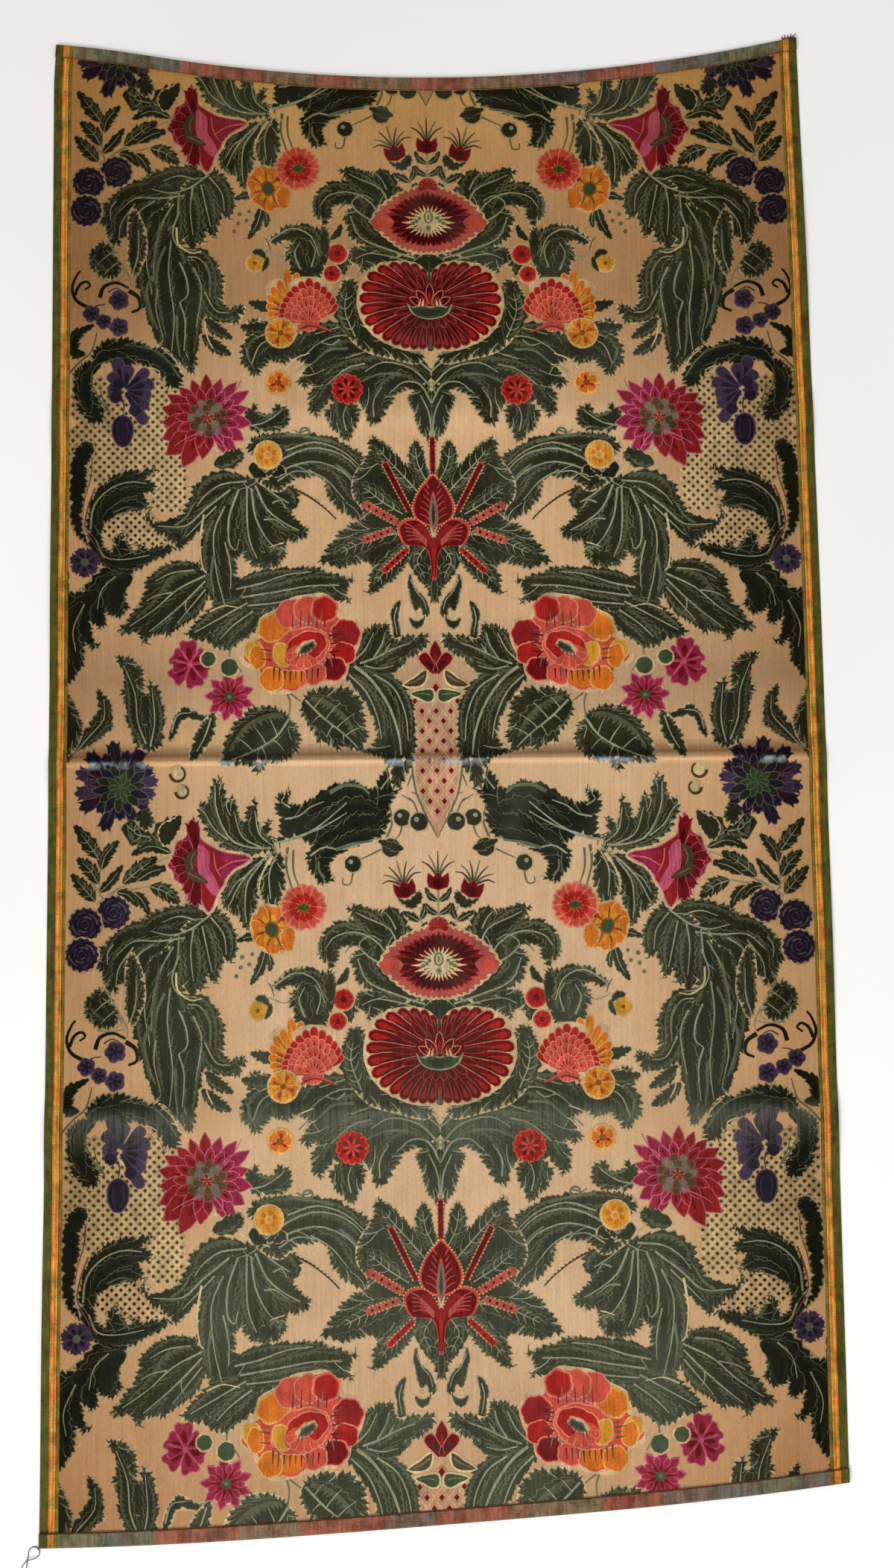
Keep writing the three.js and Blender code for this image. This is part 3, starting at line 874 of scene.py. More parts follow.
def rosette(x, y, r):
    spot = Spot(x, y)
    spot.disc(r + 0.9, "halo", 12)
    spot.disc(r + 0.2, "violet", 30, lobes=1, depth=0.12)
    spot.disc(r - 0.9, "ink", 24, lobes=1, depth=0.12)
    for ring_r, first in ((r * 0.74, 0), (r * 0.48, 40), (r * 0.24, 80)):
        for k in range(4):
            coil(x, y, ring_r, ring_r * 0.86, first + k * 90, 68, 1.5 if ring_r > r * 0.3 else 1.0, "violet" if k % 2 else "mauve", 7)


def rosettes():
    for x, y in ((-228, -88), (-248, -96), (-250, -117)):
        rosette(x, y, 12)


def purple_daisy():
    x, y = -223.5, -1
    mass([216, 16, 213, 24, 206, 31, 200, 25, 203, 17, 208, 12])
    spot = Spot(x, y)
    spot.disc(21, "halo", 18)
    petals = ((101, 34), (61, 32), (31, 27), (11, 27), (-12, 25), (-38, 24), (-69, 25), (-92, 23), (-113, 33), (-153, 33), (187, 33), (160, 34), (134, 35),
              (80, 27), (45, 24), (-27, 22), (-135, 24), (-170, 27), (172, 26), (147, 27), (116, 27))
    for turn, reach in petals:
        spot.petal(turn, 5, reach, 5.4 if reach > 27 else 4.4, "tooth", ("mauve", "ink" if 20 < turn % 180 < 150 else "violet", "ink"), 0.9)
        spot.petal(turn, 8, reach * 0.8, 1.1, "point", ("maroon" if abs(turn) > 140 else "violet",))
    for k in range(14):
        spot.petal(360 * k / 14 + 6, 4, 18 + 3 * (k % 2), 3.6, "point", ("moss", "ink" if k % 2 else "leaf"), 0.8)
    for k in range(10):
        spot.petal(36 * k, 0, 12 - 3 * (k % 2), 2.6, "point", ("moss", "green"), 0.8)
    for cx, cy, r in ((-183.3, 8.3, 6.2), (-180.4, -4.2, 5.4)):
        Spot(cx, cy).disc(r, "straw", 16)
        Spot(cx, cy, 200).put(rib([ray((0, 0), a, r - 1) for a in range(-20, 235, 20)], 2.4, 0.5), "umber")
        Spot(cx, cy).disc(r - 2.6, "cream", 10, off=(0.8, 0))


def ring_of(x, y, r, wide, tone):
    """A ring, drawn as a stroke round a circle."""
    a = np.linspace(0, 2 * np.pi, 17)
    put(rib(np.c_[x + np.cos(a) * r, y + np.sin(a) * r], wide, 1.0), tone)


def left_acanthus():
    mass([
        166, 84, 180, 83, 196, 86, 208, 92, 212, 99, 226, 103, 237, 112, 240, 124, 235, 132, 233, 141,
        226, 144, 222, 136, 218, 142, 217, 158, 214, 164, 209, 152, 207, 136, 206, 124, 198, 120, 190,
        112, 178, 106, 168, 100,
    ])
    mass([
        162, 84, 152, 88, 145, 98, 141, 110, 146, 124, 150, 116, 153, 130, 158, 138, 162, 130, 165, 142,
        170, 140, 174, 149, 180, 142, 186, 150, 190, 140, 194, 128, 190, 112, 180, 100, 172, 92,
    ])
    mass([
        196, 114, 205, 130, 209, 150, 208, 176, 204, 196, 199, 214, 194, 228, 188, 236, 182, 230, 178,
        236, 172, 238, 170, 226, 172, 212, 168, 196, 164, 184, 158, 190, 150, 200, 140, 201, 135, 190,
        140, 188, 146, 191, 151, 184, 150, 170, 155, 157, 164, 150, 174, 147, 182, 134, 186, 116,
    ])
    lobes([
        (13, 5, 192, 112, 206, 116, 211, 132, 214, 158), (13, 6, 196, 104, 216, 110, 226, 122, 228, 140),
        (13, 6, 180, 102, 204, 100, 222, 104, 236, 122), (13, 6, 166, 90, 182, 90, 198, 94, 210, 102),
        (17, 7, 198, 118, 204, 140, 206, 165, 202, 190, 197, 216),
        (17, 8, 188, 118, 195, 148, 194, 182, 188, 230),
        (14, 7, 184, 150, 168, 151, 160, 164, 158, 184, 148, 196),
        (17, 8, 186, 140, 180, 166, 178, 192, 180, 228), (15, 7, 178, 156, 170, 176, 172, 204, 174, 234),
        (12, 5, 166, 176, 160, 190, 150, 197, 140, 194), (15, 8, 162, 90, 152, 100, 148, 112, 148, 122),
        (14, 8, 168, 94, 162, 108, 159, 122, 159, 136), (15, 8, 176, 100, 172, 116, 171, 130, 173, 147),
        (13, 7, 184, 106, 184, 122, 184, 134, 186, 148),
    ])
    leaves([(10, 4, 164, 198, 156, 206, 144, 213), (10, 4, 166, 210, 156, 219, 145, 225)], vein=None)
    stems([
        (1.5, 160, 90, 174, 100, 188, 104, 202, 101), (1.2, 170, 94, 182, 91, 194, 95),
        (1.5, 178, 106, 196, 108, 214, 108, 226, 118), (1.2, 200, 110, 212, 120, 214, 142),
        (1.2, 214, 112, 224, 126, 226, 138), (1.3, 186, 112, 194, 126, 200, 146, 201, 170),
        (1.2, 160, 92, 151, 104, 149, 118), (1.2, 166, 98, 163, 112, 159, 130),
        (1.2, 172, 100, 174, 116, 172, 136), (1.4, 182, 118, 187, 134, 182, 145, 170, 147),
        (1.3, 188, 140, 190, 164, 186, 196, 188, 222), (1.4, 182, 156, 177, 168, 176, 180, 182, 186),
        (1.3, 182, 186, 178, 200, 179, 222), (1.2, 172, 160, 166, 176, 170, 204),
        (1.2, 164, 178, 156, 192, 146, 194), (1.1, 198, 176, 199, 192, 194, 212),
        (1.2, 182, 104, 184, 124, 190, 132), (1.2, 206, 130, 206, 156, 202, 180),
        (1.2, 228, 110, 232, 116, 232, 124), (1.1, 176, 152, 168, 153, 162, 160),
    ])
    stems([(1.6, 184, 130, 183, 142, 174, 149, 166, 148), (1.4, 164, 200, 162, 212, 158, 220)], "cream")
    stems([
        (2.6, 202, 166, 206, 178, 202, 196, 198, 206), (2.4, 164, 156, 160, 166, 160, 182),
        (2.2, 192, 144, 197, 156, 199, 172), (2.0, 196, 128, 200, 150, 202, 160),
        (2.0, 184, 196, 184, 212, 182, 226),
    ], "moss")


def bellflowers():
    mass([216, 116, 211, 122, 207, 134, 206, 148, 209, 156, 214, 166, 219, 156, 219, 140, 219, 126])
    mass([235, 140, 244, 145, 248, 154, 243, 164, 232, 168, 224, 162, 228, 150])
    lobes([
        (10, 4, 216, 162, 214, 146, 213, 132, 214, 120), (12, 4, 230, 162, 238, 156, 242, 150, 238, 144),
    ])
    stems([
        (1.4, 234, 140, 228, 150, 222, 160), (1.1, 230, 148, 236, 152, 242, 158),
        (1.0, 227, 156, 232, 160, 236, 164), (1.2, 222, 160, 218, 168, 218, 174),
        (1.2, 239, 169, 228, 170, 219, 168), (1.0, 226, 158, 222, 164, 226, 168),
        (1.2, 216, 164, 212, 150, 212, 132),
    ])
    leaves([(10, 4, 250, 224, 259, 222, 257, 210, 244, 202)], vein=None, tone="dark")
    stems([
        (2.6, 249, 189, 257, 184, 260, 175, 257, 166, 254, 162),
        (2.4, 258, 180, 255, 173, 250, 170, 247, 173, 251, 176),
        (3.0, 240, 182, 237, 174, 228, 171, 219, 175), (3.2, 219, 177, 212, 182, 211, 190, 217, 193),
    ], "dark")
    stems([(1.0, 248, 192, 242, 188, 236, 187), (1.0, 234, 178, 228, 175, 221, 179)], "violet")
    for x, y, r in ((-226, -184, 7), (-246, -194, 6), (-237, -200, 5.4), (-226, -204, 6.6)):
        spot = Spot(x, y, 20)
        spot.ring(5, 0, r, r * 0.6, "notch", ("mauve", "violet", "ink"), 54, 0.9)
        spot.disc(r * 0.3, "ink", 7)


def dark_arch():
    mass([
        243, 230, 246, 238, 245, 250, 238, 262, 236, 268, 241, 277, 252, 270, 257, 260, 259, 242, 255,
        233, 247, 228, 241, 217, 228, 212, 214, 214, 203, 219, 192, 221, 184, 232, 180, 246, 190, 250,
        194, 242, 204, 234, 214, 231, 223, 234, 234, 230,
    ], "dark")
    lobes([
        (11, 5, 186, 240, 198, 228, 214, 222, 230, 222), (11, 5, 246, 268, 250, 256, 250, 244, 244, 232),
        (9, 4, 246, 240, 240, 228, 230, 224, 220, 226),
    ], tone="dark")
    stems([
        (1.4, 262, 238, 254, 229, 246, 222, 242, 208),
        (1.3, 234, 266, 242, 254, 246, 242, 242, 232, 230, 228), (1.2, 232, 268, 238, 256, 240, 246),
        (1.3, 182, 242, 190, 230, 200, 222, 214, 218),
    ], "moss")
    stems([
        (1.3, 180, 238, 186, 228, 194, 221), (1.2, 211, 238, 204, 234, 196, 238, 206, 241, 211, 239),
    ], "cream")
    blossom = Spot(-222, -251)
    for turn, reach, half in ((104, 25, 4.8), (80, 19, 4.6), (130, 17, 4.6), (42, 23, 4.2), (14, 22, 4.8), (-14, 20, 5), (-38, 22, 4.6), (-58, 30, 4.4),
                              (176, 12, 4.6), (212, 12, 4.6)):
        blossom.petal(turn, 2, reach, half, "round", ("mauve", "violet", "ink"), 0.9)
    for x, y in ((-228, -256), (-214, -266), (-226, -246)):
        Spot(x, y).ring(5, 0, 4.6, 2.6, "notch", ("violet", "ink"), 20, 0.8)
    for grow, tone in ((1, "mauve"), (0, "ink")):
        put(mass_edge([(-223, -270), (-229, -274), (-230, -283), (-227, -290), (-223, -292), (-219, -290), (-216, -283), (-217, -274)], grow, 0), tone)
    stems([
        (0.9, 226, 275, 227, 282, 225, 289), (0.9, 220, 275, 219, 282, 221, 289),
        (1.2, 223, 258, 222, 264, 223, 270),
    ], "violet")


def lattice(x0, x1, y0, y1, pitch, keep, tones=("cream", "tan", "umber")):
    """A diamond trellis with a dark seed in each mesh, kept where keep says so."""
    rows = int((y1 - y0) / pitch * 2) + 1
    for row in range(rows):
        y = y0 + row * pitch / 2
        x = x0 + (row % 2) * pitch / 2
        while x < x1:
            if keep(x, y):
                h = pitch * 0.5
                put([(x - h, y), (x, y - h), (x + h, y), (x, y + h)], tones[0])
                h = pitch * 0.36
                put([(x - h, y), (x, y - h), (x + h, y), (x, y + h)], tones[1])
                Spot(x, y).disc(pitch * 0.19, tones[2], 6)
            x += pitch


def inside(blobs):
    """A test for points that lie in any of a few ovals (x, y, half width, half height)."""
    return lambda x, y: any(((x - a) / w) ** 2 + ((y - b) / h) ** 2 < 1 for a, b, w, h in blobs)


def lattices():
    lattice(-262, -178, -342, -240, 6.4, inside([(-222, -262, 40, 30), (-222, -292, 44, 22), (-190, -322, 15, 20), (-238, -306, 22, 14)]),
            ("cream", "tan", "umber"))
    lattice(-242, -192, -366, -338, 6.2, inside([(-218, -349, 24, 13), (-204, -356, 14, 9)]), ("cream", "tan", "maroon"))


def dahlia():
    spot = Spot(-162, -272)
    spot.disc(25, "halo", 20)
    outer = [(92, 33, 5, 0), (112, 31, 4.6, 0), (72, 31, 5, 1), (52, 34, 5, 1), (34, 36, 5.2, 1), (131, 31, 5, 0), (149, 34, 5.4, 0),
             (167, 34, 6.4, 0), (186, 33, 6.2, 0), (205, 36, 7.4, 0), (222, 40, 8.2, 0), (243, 40, 7, 0), (262, 30, 6, 0), (14, 30, 5, 1),
             (-8, 32, 6, 1), (-32, 31, 6, 1), (-56, 36, 6.4, 1)]
    for turn, reach, half, bright in outer:
        tones = ("pink", "magenta", "crimson") if bright else ("rose", "claret", "crimson")
        spot.petal(turn, 6, reach, half, "point", tones, 1.0)
    for k in range(15):
        turn = 24 * k + 10
        bright = np.cos(np.radians(turn)) > 0.1
        tones = ("pink", "magenta") if bright else ("rose", "claret")
        spot.petal(turn, 8, 23.5, 3.9, "point", tones, 0.9)
        spot.petal(turn, 13, 20, 0.9, "point", ("crimson",))
    for ring, reach, half in ((11, 14.5, 3.1), (8, 10, 2.6)):
        for k in range(ring):
            spot.petal(360 * k / ring + reach, 2.5, reach, half, "round", ("dusk", "slate" if k % 2 else "umber"), 0.75)
    for k in range(5):
        Spot(-162, -272).petal(72 * k + 20, 0, 5.2, 1.7, "round", ("sage", "claret"), 0.7)
    stems([
        (1.2, 157, 283, 150, 292, 145, 304), (1.1, 165, 282, 176, 286, 186, 292),
        (1.0, 150, 262, 142, 252, 138, 244),
    ], "pink")
    leaves([(14, 4, 158, 306, 146, 302, 138, 296)], vein=None)


def right_scroll():
    mass([
        135, 275, 134, 266, 127, 262, 125, 268, 117, 269, 112, 262, 105, 265, 103, 273, 107, 280, 116,
        282, 128, 282,
    ])
    mass([
        133, 289, 126, 285, 114, 283, 101, 287, 82, 288, 62, 292, 49, 301, 42, 314, 38, 332, 44, 346, 58,
        345, 70, 337, 77, 326, 78, 315, 88, 315, 101, 317, 110, 325, 120, 322, 128, 315, 124, 303, 132,
        298,
    ])
    mass([144, 296, 139, 294, 136, 300, 140, 306, 150, 308, 157, 306, 150, 301])
    lobes([
        (13, 5, 112, 300, 96, 291, 78, 291, 62, 298, 48, 312),
        (15, 6, 116, 310, 98, 300, 80, 300, 62, 308, 50, 324),
        (13, 5, 88, 309, 74, 314, 66, 326, 54, 338), (10, 4, 130, 290, 112, 288, 96, 288, 84, 290),
        (9, 4, 128, 278, 118, 276, 110, 272, 108, 266),
    ])
    stems([
        (1.5, 126, 316, 108, 302, 86, 294, 64, 300, 50, 314),
        (1.5, 124, 318, 104, 308, 84, 304, 64, 312, 54, 326), (1.4, 106, 296, 86, 290, 66, 296, 52, 308),
        (1.3, 90, 310, 76, 318, 64, 332), (1.3, 112, 318, 100, 311, 88, 312),
        (1.2, 132, 278, 122, 276, 112, 270, 108, 266), (1.2, 150, 305, 143, 302, 138, 298),
    ])
    stems([
        (2.2, 106, 284, 90, 286, 74, 290), (2, 70, 306, 60, 314, 52, 326),
        (1.8, 126, 269, 118, 271, 112, 267),
    ], "moss")
    stems([(1.6, 140, 307, 130, 313, 118, 317)], "cream")
    stems([(1.8, 104, 322, 90, 329, 78, 338, 70, 346)], "umber")
    beads([(-104, -320.6), (-90, -327.6), (-78, -336.6), (-69, -345)], "cream", 0.9, 3.2)
    ring_of(-92, -283, 3.4, 1.4, "moss")
    stems([(1.2, 89, 281, 96, 283, 100, 281)], "moss")
    spot = Spot(-119, -299)
    spot.disc(10.8, "halo", 16)
    spot.ring(6, 0, 10, 5.2, "round", ("peach", "gold", "orange"), 20, 1.3)
    spot.disc(3.2, "peach", 9)
    spot.disc(1.8, "gold", 7)
    leaves([
        (9, 3, 130, 304, 128, 311, 120, 314), (7, 2, 111, 306, 110, 311, 116, 314),
    ], vein=None, tone="dark")


def big_acanthus():
    mass([
        126, 316, 112, 319, 101, 324, 98, 335, 103, 342, 96, 349, 89, 355, 97, 362, 106, 362, 107, 372,
        113, 380, 124, 381, 133, 378, 138, 370, 142, 378, 139, 389, 128, 384, 115, 383, 102, 382, 88, 380,
        74, 385, 58, 390, 63, 397, 62, 407, 76, 402, 92, 404, 108, 410, 118, 419, 134, 430, 149, 440, 163,
        434, 178, 430, 172, 422, 160, 411, 162, 398, 165, 382, 164, 362, 167, 344, 173, 357, 182, 367,
        191, 359, 200, 354, 207, 342, 200, 347, 190, 348, 178, 336, 172, 321, 160, 314, 142, 314,
    ])
    mass([
        165, 380, 176, 376, 192, 378, 206, 389, 209, 402, 218, 415, 226, 427, 212, 427, 209, 434, 199,
        428, 190, 429, 182, 418, 172, 415, 167, 402, 162, 392,
    ])
    lobes([
        (18, 7, 126, 318, 112, 326, 104, 330, 100, 338), (20, 8, 128, 322, 118, 338, 108, 348, 93, 354),
        (17, 7, 132, 324, 126, 346, 118, 362, 110, 370), (16, 7, 134, 322, 133, 346, 131, 362, 126, 378),
        (13, 6, 140, 324, 146, 342, 148, 358, 144, 374), (18, 7, 134, 317, 152, 318, 164, 324, 170, 338),
        (16, 6, 146, 322, 164, 336, 178, 348, 203, 350), (13, 5, 150, 326, 164, 342, 174, 352, 181, 364),
        (20, 9, 146, 334, 156, 356, 154, 384, 148, 414), (14, 6, 154, 340, 161, 364, 159, 390, 152, 412),
    ])
    lobes([
        (13, 5, 142, 392, 122, 388, 102, 386, 84, 384), (13, 5, 138, 400, 112, 396, 86, 390, 62, 391),
        (12, 5, 136, 408, 112, 404, 88, 400, 66, 404), (11, 5, 138, 412, 128, 418, 116, 416, 106, 410),
        (17, 8, 134, 404, 150, 412, 164, 422, 176, 429), (14, 6, 130, 410, 142, 420, 152, 430, 158, 436),
        (10, 4, 126, 414, 134, 424, 142, 430, 148, 438), (20, 9, 164, 384, 184, 392, 198, 408, 222, 425),
        (16, 8, 163, 388, 178, 404, 194, 416, 208, 430), (14, 7, 162, 394, 172, 408, 182, 416, 190, 427),
        (11, 5, 168, 380, 184, 380, 196, 386, 206, 392),
    ])
    stems([
        (1.6, 126, 318, 114, 328, 104, 334), (1.6, 128, 321, 120, 338, 108, 348, 97, 354),
        (1.5, 131, 323, 128, 344, 120, 360, 112, 368), (1.5, 134, 322, 134, 346, 132, 362, 127, 374),
        (1.5, 140, 324, 147, 344, 147, 362, 142, 368, 140, 360),
        (1.4, 134, 318, 152, 320, 164, 328, 170, 336), (1.5, 146, 324, 164, 338, 178, 350, 198, 350),
        (1.2, 156, 336, 168, 348, 178, 358), (1.3, 150, 336, 158, 356, 156, 384, 150, 408),
        (1.2, 116, 334, 110, 332, 106, 338), (1.2, 122, 346, 114, 346, 106, 352),
        (1.2, 150, 362, 146, 380, 146, 396),
    ])
    stems([
        (1.4, 142, 396, 124, 392, 106, 386, 88, 384), (1.4, 138, 402, 112, 398, 88, 394, 68, 394),
        (1.2, 134, 408, 112, 406, 92, 402, 76, 404), (1.4, 134, 406, 152, 416, 172, 427),
        (1.3, 130, 412, 144, 422, 154, 432), (1.4, 164, 386, 184, 396, 200, 410, 218, 422),
        (1.3, 164, 390, 180, 406, 194, 418, 204, 426), (1.2, 164, 396, 174, 408, 184, 420),
        (1.2, 172, 382, 188, 384, 200, 390), (1.1, 188, 398, 198, 400, 206, 404),
        (1.1, 178, 404, 178, 410, 176, 414),
    ])
    stems([
        (1.6, 165, 342, 168, 362, 166, 380, 163, 384), (1.1, 161, 412, 150, 408, 138, 410),
        (1.1, 108, 363, 112, 364, 118, 366),
    ], "cream")
    stems([
        (2.6, 112, 372, 110, 368, 114, 366, 118, 370), (2.2, 186, 350, 178, 344, 172, 334),
        (2.2, 158, 372, 160, 386, 158, 398),
    ], "moss")


def left_scroll():
    mass([
        254, 290, 246, 289, 244, 296, 249, 306, 249, 318, 252, 337, 251, 354, 242, 367, 250, 362, 259,
        350, 261, 326, 260, 302,
    ], "dark")
    mass([
        244, 372, 249, 352, 246, 336, 240, 323, 230, 313, 216, 309, 199, 309, 206, 315, 198, 322, 208,
        328, 203, 336, 212, 339, 223, 340, 234, 346, 238, 354, 237, 364, 230, 369, 230, 362, 224, 354,
        219, 363, 213, 368, 213, 361, 206, 366, 194, 364, 180, 364, 190, 370, 208, 379, 218, 386, 221,
        400, 219, 410, 228, 416, 236, 410, 240, 404, 235, 418, 239, 424, 246, 414, 247, 426, 240, 437,
        247, 437, 251, 430, 250, 445, 256, 457, 264, 460, 264, 400, 256, 398, 238, 380,
    ], "dark")
    lobes([
        (12, 5, 243, 350, 242, 336, 232, 322, 204, 311), (11, 5, 240, 348, 234, 334, 222, 326, 202, 323),
        (9, 4, 238, 346, 228, 338, 216, 334, 207, 336), (12, 5, 242, 366, 230, 376, 212, 374, 190, 367),
        (18, 7, 224, 384, 236, 394, 242, 410, 238, 422), (18, 7, 216, 386, 226, 392, 230, 404, 228, 414),
        (16, 6, 240, 396, 252, 408, 252, 424, 244, 435), (14, 6, 252, 404, 260, 420, 258, 438, 254, 454),
    ], tone="dark")
    stems([
        (1.6, 246, 352, 244, 336, 234, 324, 220, 318, 206, 319),
        (1.3, 242, 360, 236, 372, 222, 374, 204, 371), (1.2, 228, 386, 238, 396, 241, 410),
        (1.2, 250, 406, 258, 424, 256, 440),
    ])
    stems([
        (1.2, 243, 322, 248, 336, 250, 350, 244, 362, 236, 374),
        (1.0, 245, 300, 246, 314, 250, 328, 252, 340),
    ], "dusk")
    stems([(1.2, 214, 370, 221, 362, 218, 356), (1.2, 230, 340, 220, 336, 212, 338)], "moss")
    lobes([(10, 4, 262, 382, 266, 390, 262, 400)], tone="dark")
    spot = Spot(-250, -376)
    spot.ring(7, 0, 11, 4.2, "tooth", ("mauve", "violet", "ink"), 10, 0.9)
    spot.disc(3, "moss", 8)


def beads(points, tone, size=0.75, pitch=2.5):
    """Small round dots along a line."""
    line = smooth(points, 40)
    run = np.concatenate([[0], np.cumsum(np.linalg.norm(np.diff(line, axis=0), axis=1))])
    for at in np.arange(pitch / 2, run[-1], pitch):
        Spot(np.interp(at, run, line[:, 0]), np.interp(at, run, line[:, 1])).disc(size, tone, 6)


SPIKES = [
    ((-17, -341), (-34, -307), 6.2, "crimson"),
    ((-26, -349), (-48, -336), 7.2, "rosy"),
    ((-29, -354), (-49, -361), 6.6, "rosy"),
    ((-19, -368), (-35, -383), 6.4, "red"),
    ((0, -316), (0, -289), 6.0, "crimson"),
]


def star_lily():
    mass([
        45, 286, 38, 289, 33, 292, 28, 298, 24, 306, 19, 311, 17, 300, 12, 289, 7, 296, 5, 312, 0, 316, 0,
        402, 5, 398, 8, 390, 10, 380, 16, 376, 21, 380, 27, 388, 37, 395, 46, 401, 47, 390, 44, 379, 55,
        378, 66, 381, 82, 377, 75, 365, 67, 355, 58, 349, 50, 346, 51, 338, 57, 330, 58, 320, 54, 310, 50,
        305, 46, 296,
    ])
    leaves([
        (15, 6, 8, 330, 24, 312, 35, 300, 43, 288), (12, 5, 4, 320, 10, 308, 12, 298, 12, 290),
        (14, 6, 20, 344, 36, 334, 46, 326, 56, 320), (15, 6, 20, 356, 44, 360, 60, 367, 78, 376),
        (15, 6, 12, 360, 28, 376, 38, 387, 45, 399), (12, 5, 4, 364, 12, 376, 8, 386, 6, 394),
    ], depth=0.3, halo=False)
    for start, tip, wide, body in SPIKES:
        start, tip = np.array(start, float), np.array(tip, float)
        side = (tip - start)[::-1] / np.linalg.norm(tip - start) * (-wide * 0.36, wide * 0.36)
        put(rib(np.linspace(start, tip, 6), wide * 0.7, 1.25), "rosy")
        Spot(*tip).disc(wide * 0.46, "rosy", 10)
        put(rib(np.linspace(start, tip, 6), wide * 0.48, 1.2), body)
        Spot(*tip).disc(wide * 0.3, body, 8)
        for part in (-1, 1):
            beads([start + side * part, (start + tip) / 2 + side * part * 1.1, tip + side * part], "straw" if body != "rosy" else "peach", 0.6, 2.8)
        for k in range(4):
            Spot(*(start + (tip - start) * (0.2 + 0.24 * k))).disc(1.15, "maroon", 6)
    bud = np.array([(0, -353), (-12, -348), (-15.4, -338), (-10.5, -325), (-4, -317), (0, -313)])
    both = np.vstack([bud, bud[-2:0:-1] * (-1, 1)])
    edge = smooth(np.vstack([both, both[:1]]), 40)
    put(edge, "coral")
    put((edge - (0, -335)) * (0.88, 0.9) + (0, -335), "crimson")
    beads(bud[1:], "straw", 0.7, 2.2)
    for k in range(6):
        y = -344 + 4.6 * k
        stroke([(-3, y - 3), (-6.5 + 0.35 * k, y), (-10.5 + 1.2 * k, y + 1.5)], 0.9, "rosy", 0.5, 5)
    put(smooth([(0, -357), (-3.4, -345), (0, -326), (3.4, -345), (0, -357)], 20), "rosy")
    put(smooth([(0, -355), (-2.6, -345), (0, -329), (2.6, -345), (0, -355)], 20), "slate")
    put(smooth([(0, -352), (-1.1, -345), (0, -334), (1.1, -345), (0, -352)], 16), "leaf")
    cup = [(-1.5, -391), (-3, -374), (-7, -367), (-14, -366), (-21, -365), (-25, -359), (-26, -351), (-20, -346), (-12, -346), (-6, -352),
           (0, -361)]
    cup = np.array(cup + [(-x, y) for x, y in cup[-2::-1]])
    put(smooth(cup, 60), "coral")
    put(smooth((cup - (0, -362)) * (0.92, 0.9) + (0, -362.3), 60), "crimson")
    put(smooth((cup - (0, -362)) * (0.6, 0.66) + (0, -361), 40), "claret")
    for k in range(5):
        stroke([(-5, -366 + k), (-11 - k, -361 + 2.2 * k), (-19.5 - 0.4 * k, -361.5 + 3.1 * k)], 1.0, "rosy", 0.6, 6)
    beads([(-25, -359), (-26, -351), (-20, -346), (-12, -346.4), (-5, -352), (-1, -360)], "straw", 0.6, 2.4)
    stroke([(0, -368), (0, -390)], 2.4, "red", 0.5)
    lobes([(5, 0, 0, 390, 0, 398, 0, 406)], tone="leaf")
    mass([
        17.5, 386, 14, 396, 9, 401, 5, 407, 3.6, 415, 8, 418, 10, 411, 14, 413, 16.5, 408, 18, 400, 19.5,
        394,
    ], comb=0.3)
    mass([18.5, 417.5, 14, 420, 10, 419, 7, 416, 8.5, 423, 13, 426, 17, 423], comb=0.3)
    mass([24, 405.5, 29, 408, 32, 415, 30.5, 424, 29, 436, 23, 438, 25, 426, 26, 416], comb=0.3)
    stems([(1.0, 17, 390, 13, 399, 8, 405, 6, 412), (1.0, 27, 410, 29, 418, 27, 430)])
    Spot(-13.5, -415.6).disc(1.6, "straw", 7)


PEONY_LOBES = [
    (-129, -441, 7.5, 8.5, 30, ("peach", "gold"), 5),
    (-127, -445, 6.5, 9.5, 5, ("peach", "orange"), 5),
    (-115, -424, 13, 11, 20, ("peach", "gold", "orange"), 7),
    (-103, -414, 12, 11, 30, ("blush", "coral"), 6),
    (-91, -411.5, 11, 10.5, 5, ("blush", "coral"), 6),
    (-79, -411, 10.5, 10.5, -10, ("blush", "coral", "red"), 6),
    (-64, -429, 11.5, 11.5, -20, ("blush", "red", "claret"), 7),
    (-66, -443, 10, 9, 0, ("blush", "red"), 5),
    (-73, -454, 10.5, 9.5, 20, ("blush", "red", "crimson"), 6),
    (-88, -457, 11, 9, 5, ("blush", "coral"), 6),
    (-103, -461, 12, 9, 8, ("blush", "coral", "orange"), 6),
    (-117, -461, 9.5, 9.5, 0, ("peach", "orange"), 5),
]

PEONY_EDGE = [
    (-138, -444), (-132, -434), (-125, -429), (-124, -418), (-113, -412), (-102, -404), (-91, -402), (-80, -401), (-72, -407), (-68, -417),
    (-58, -419), (-54, -428), (-57, -440), (-63, -449), (-65, -458), (-74, -463), (-88, -465), (-103, -469), (-116, -470), (-124, -462),
    (-128, -453), (-135, -450),
]


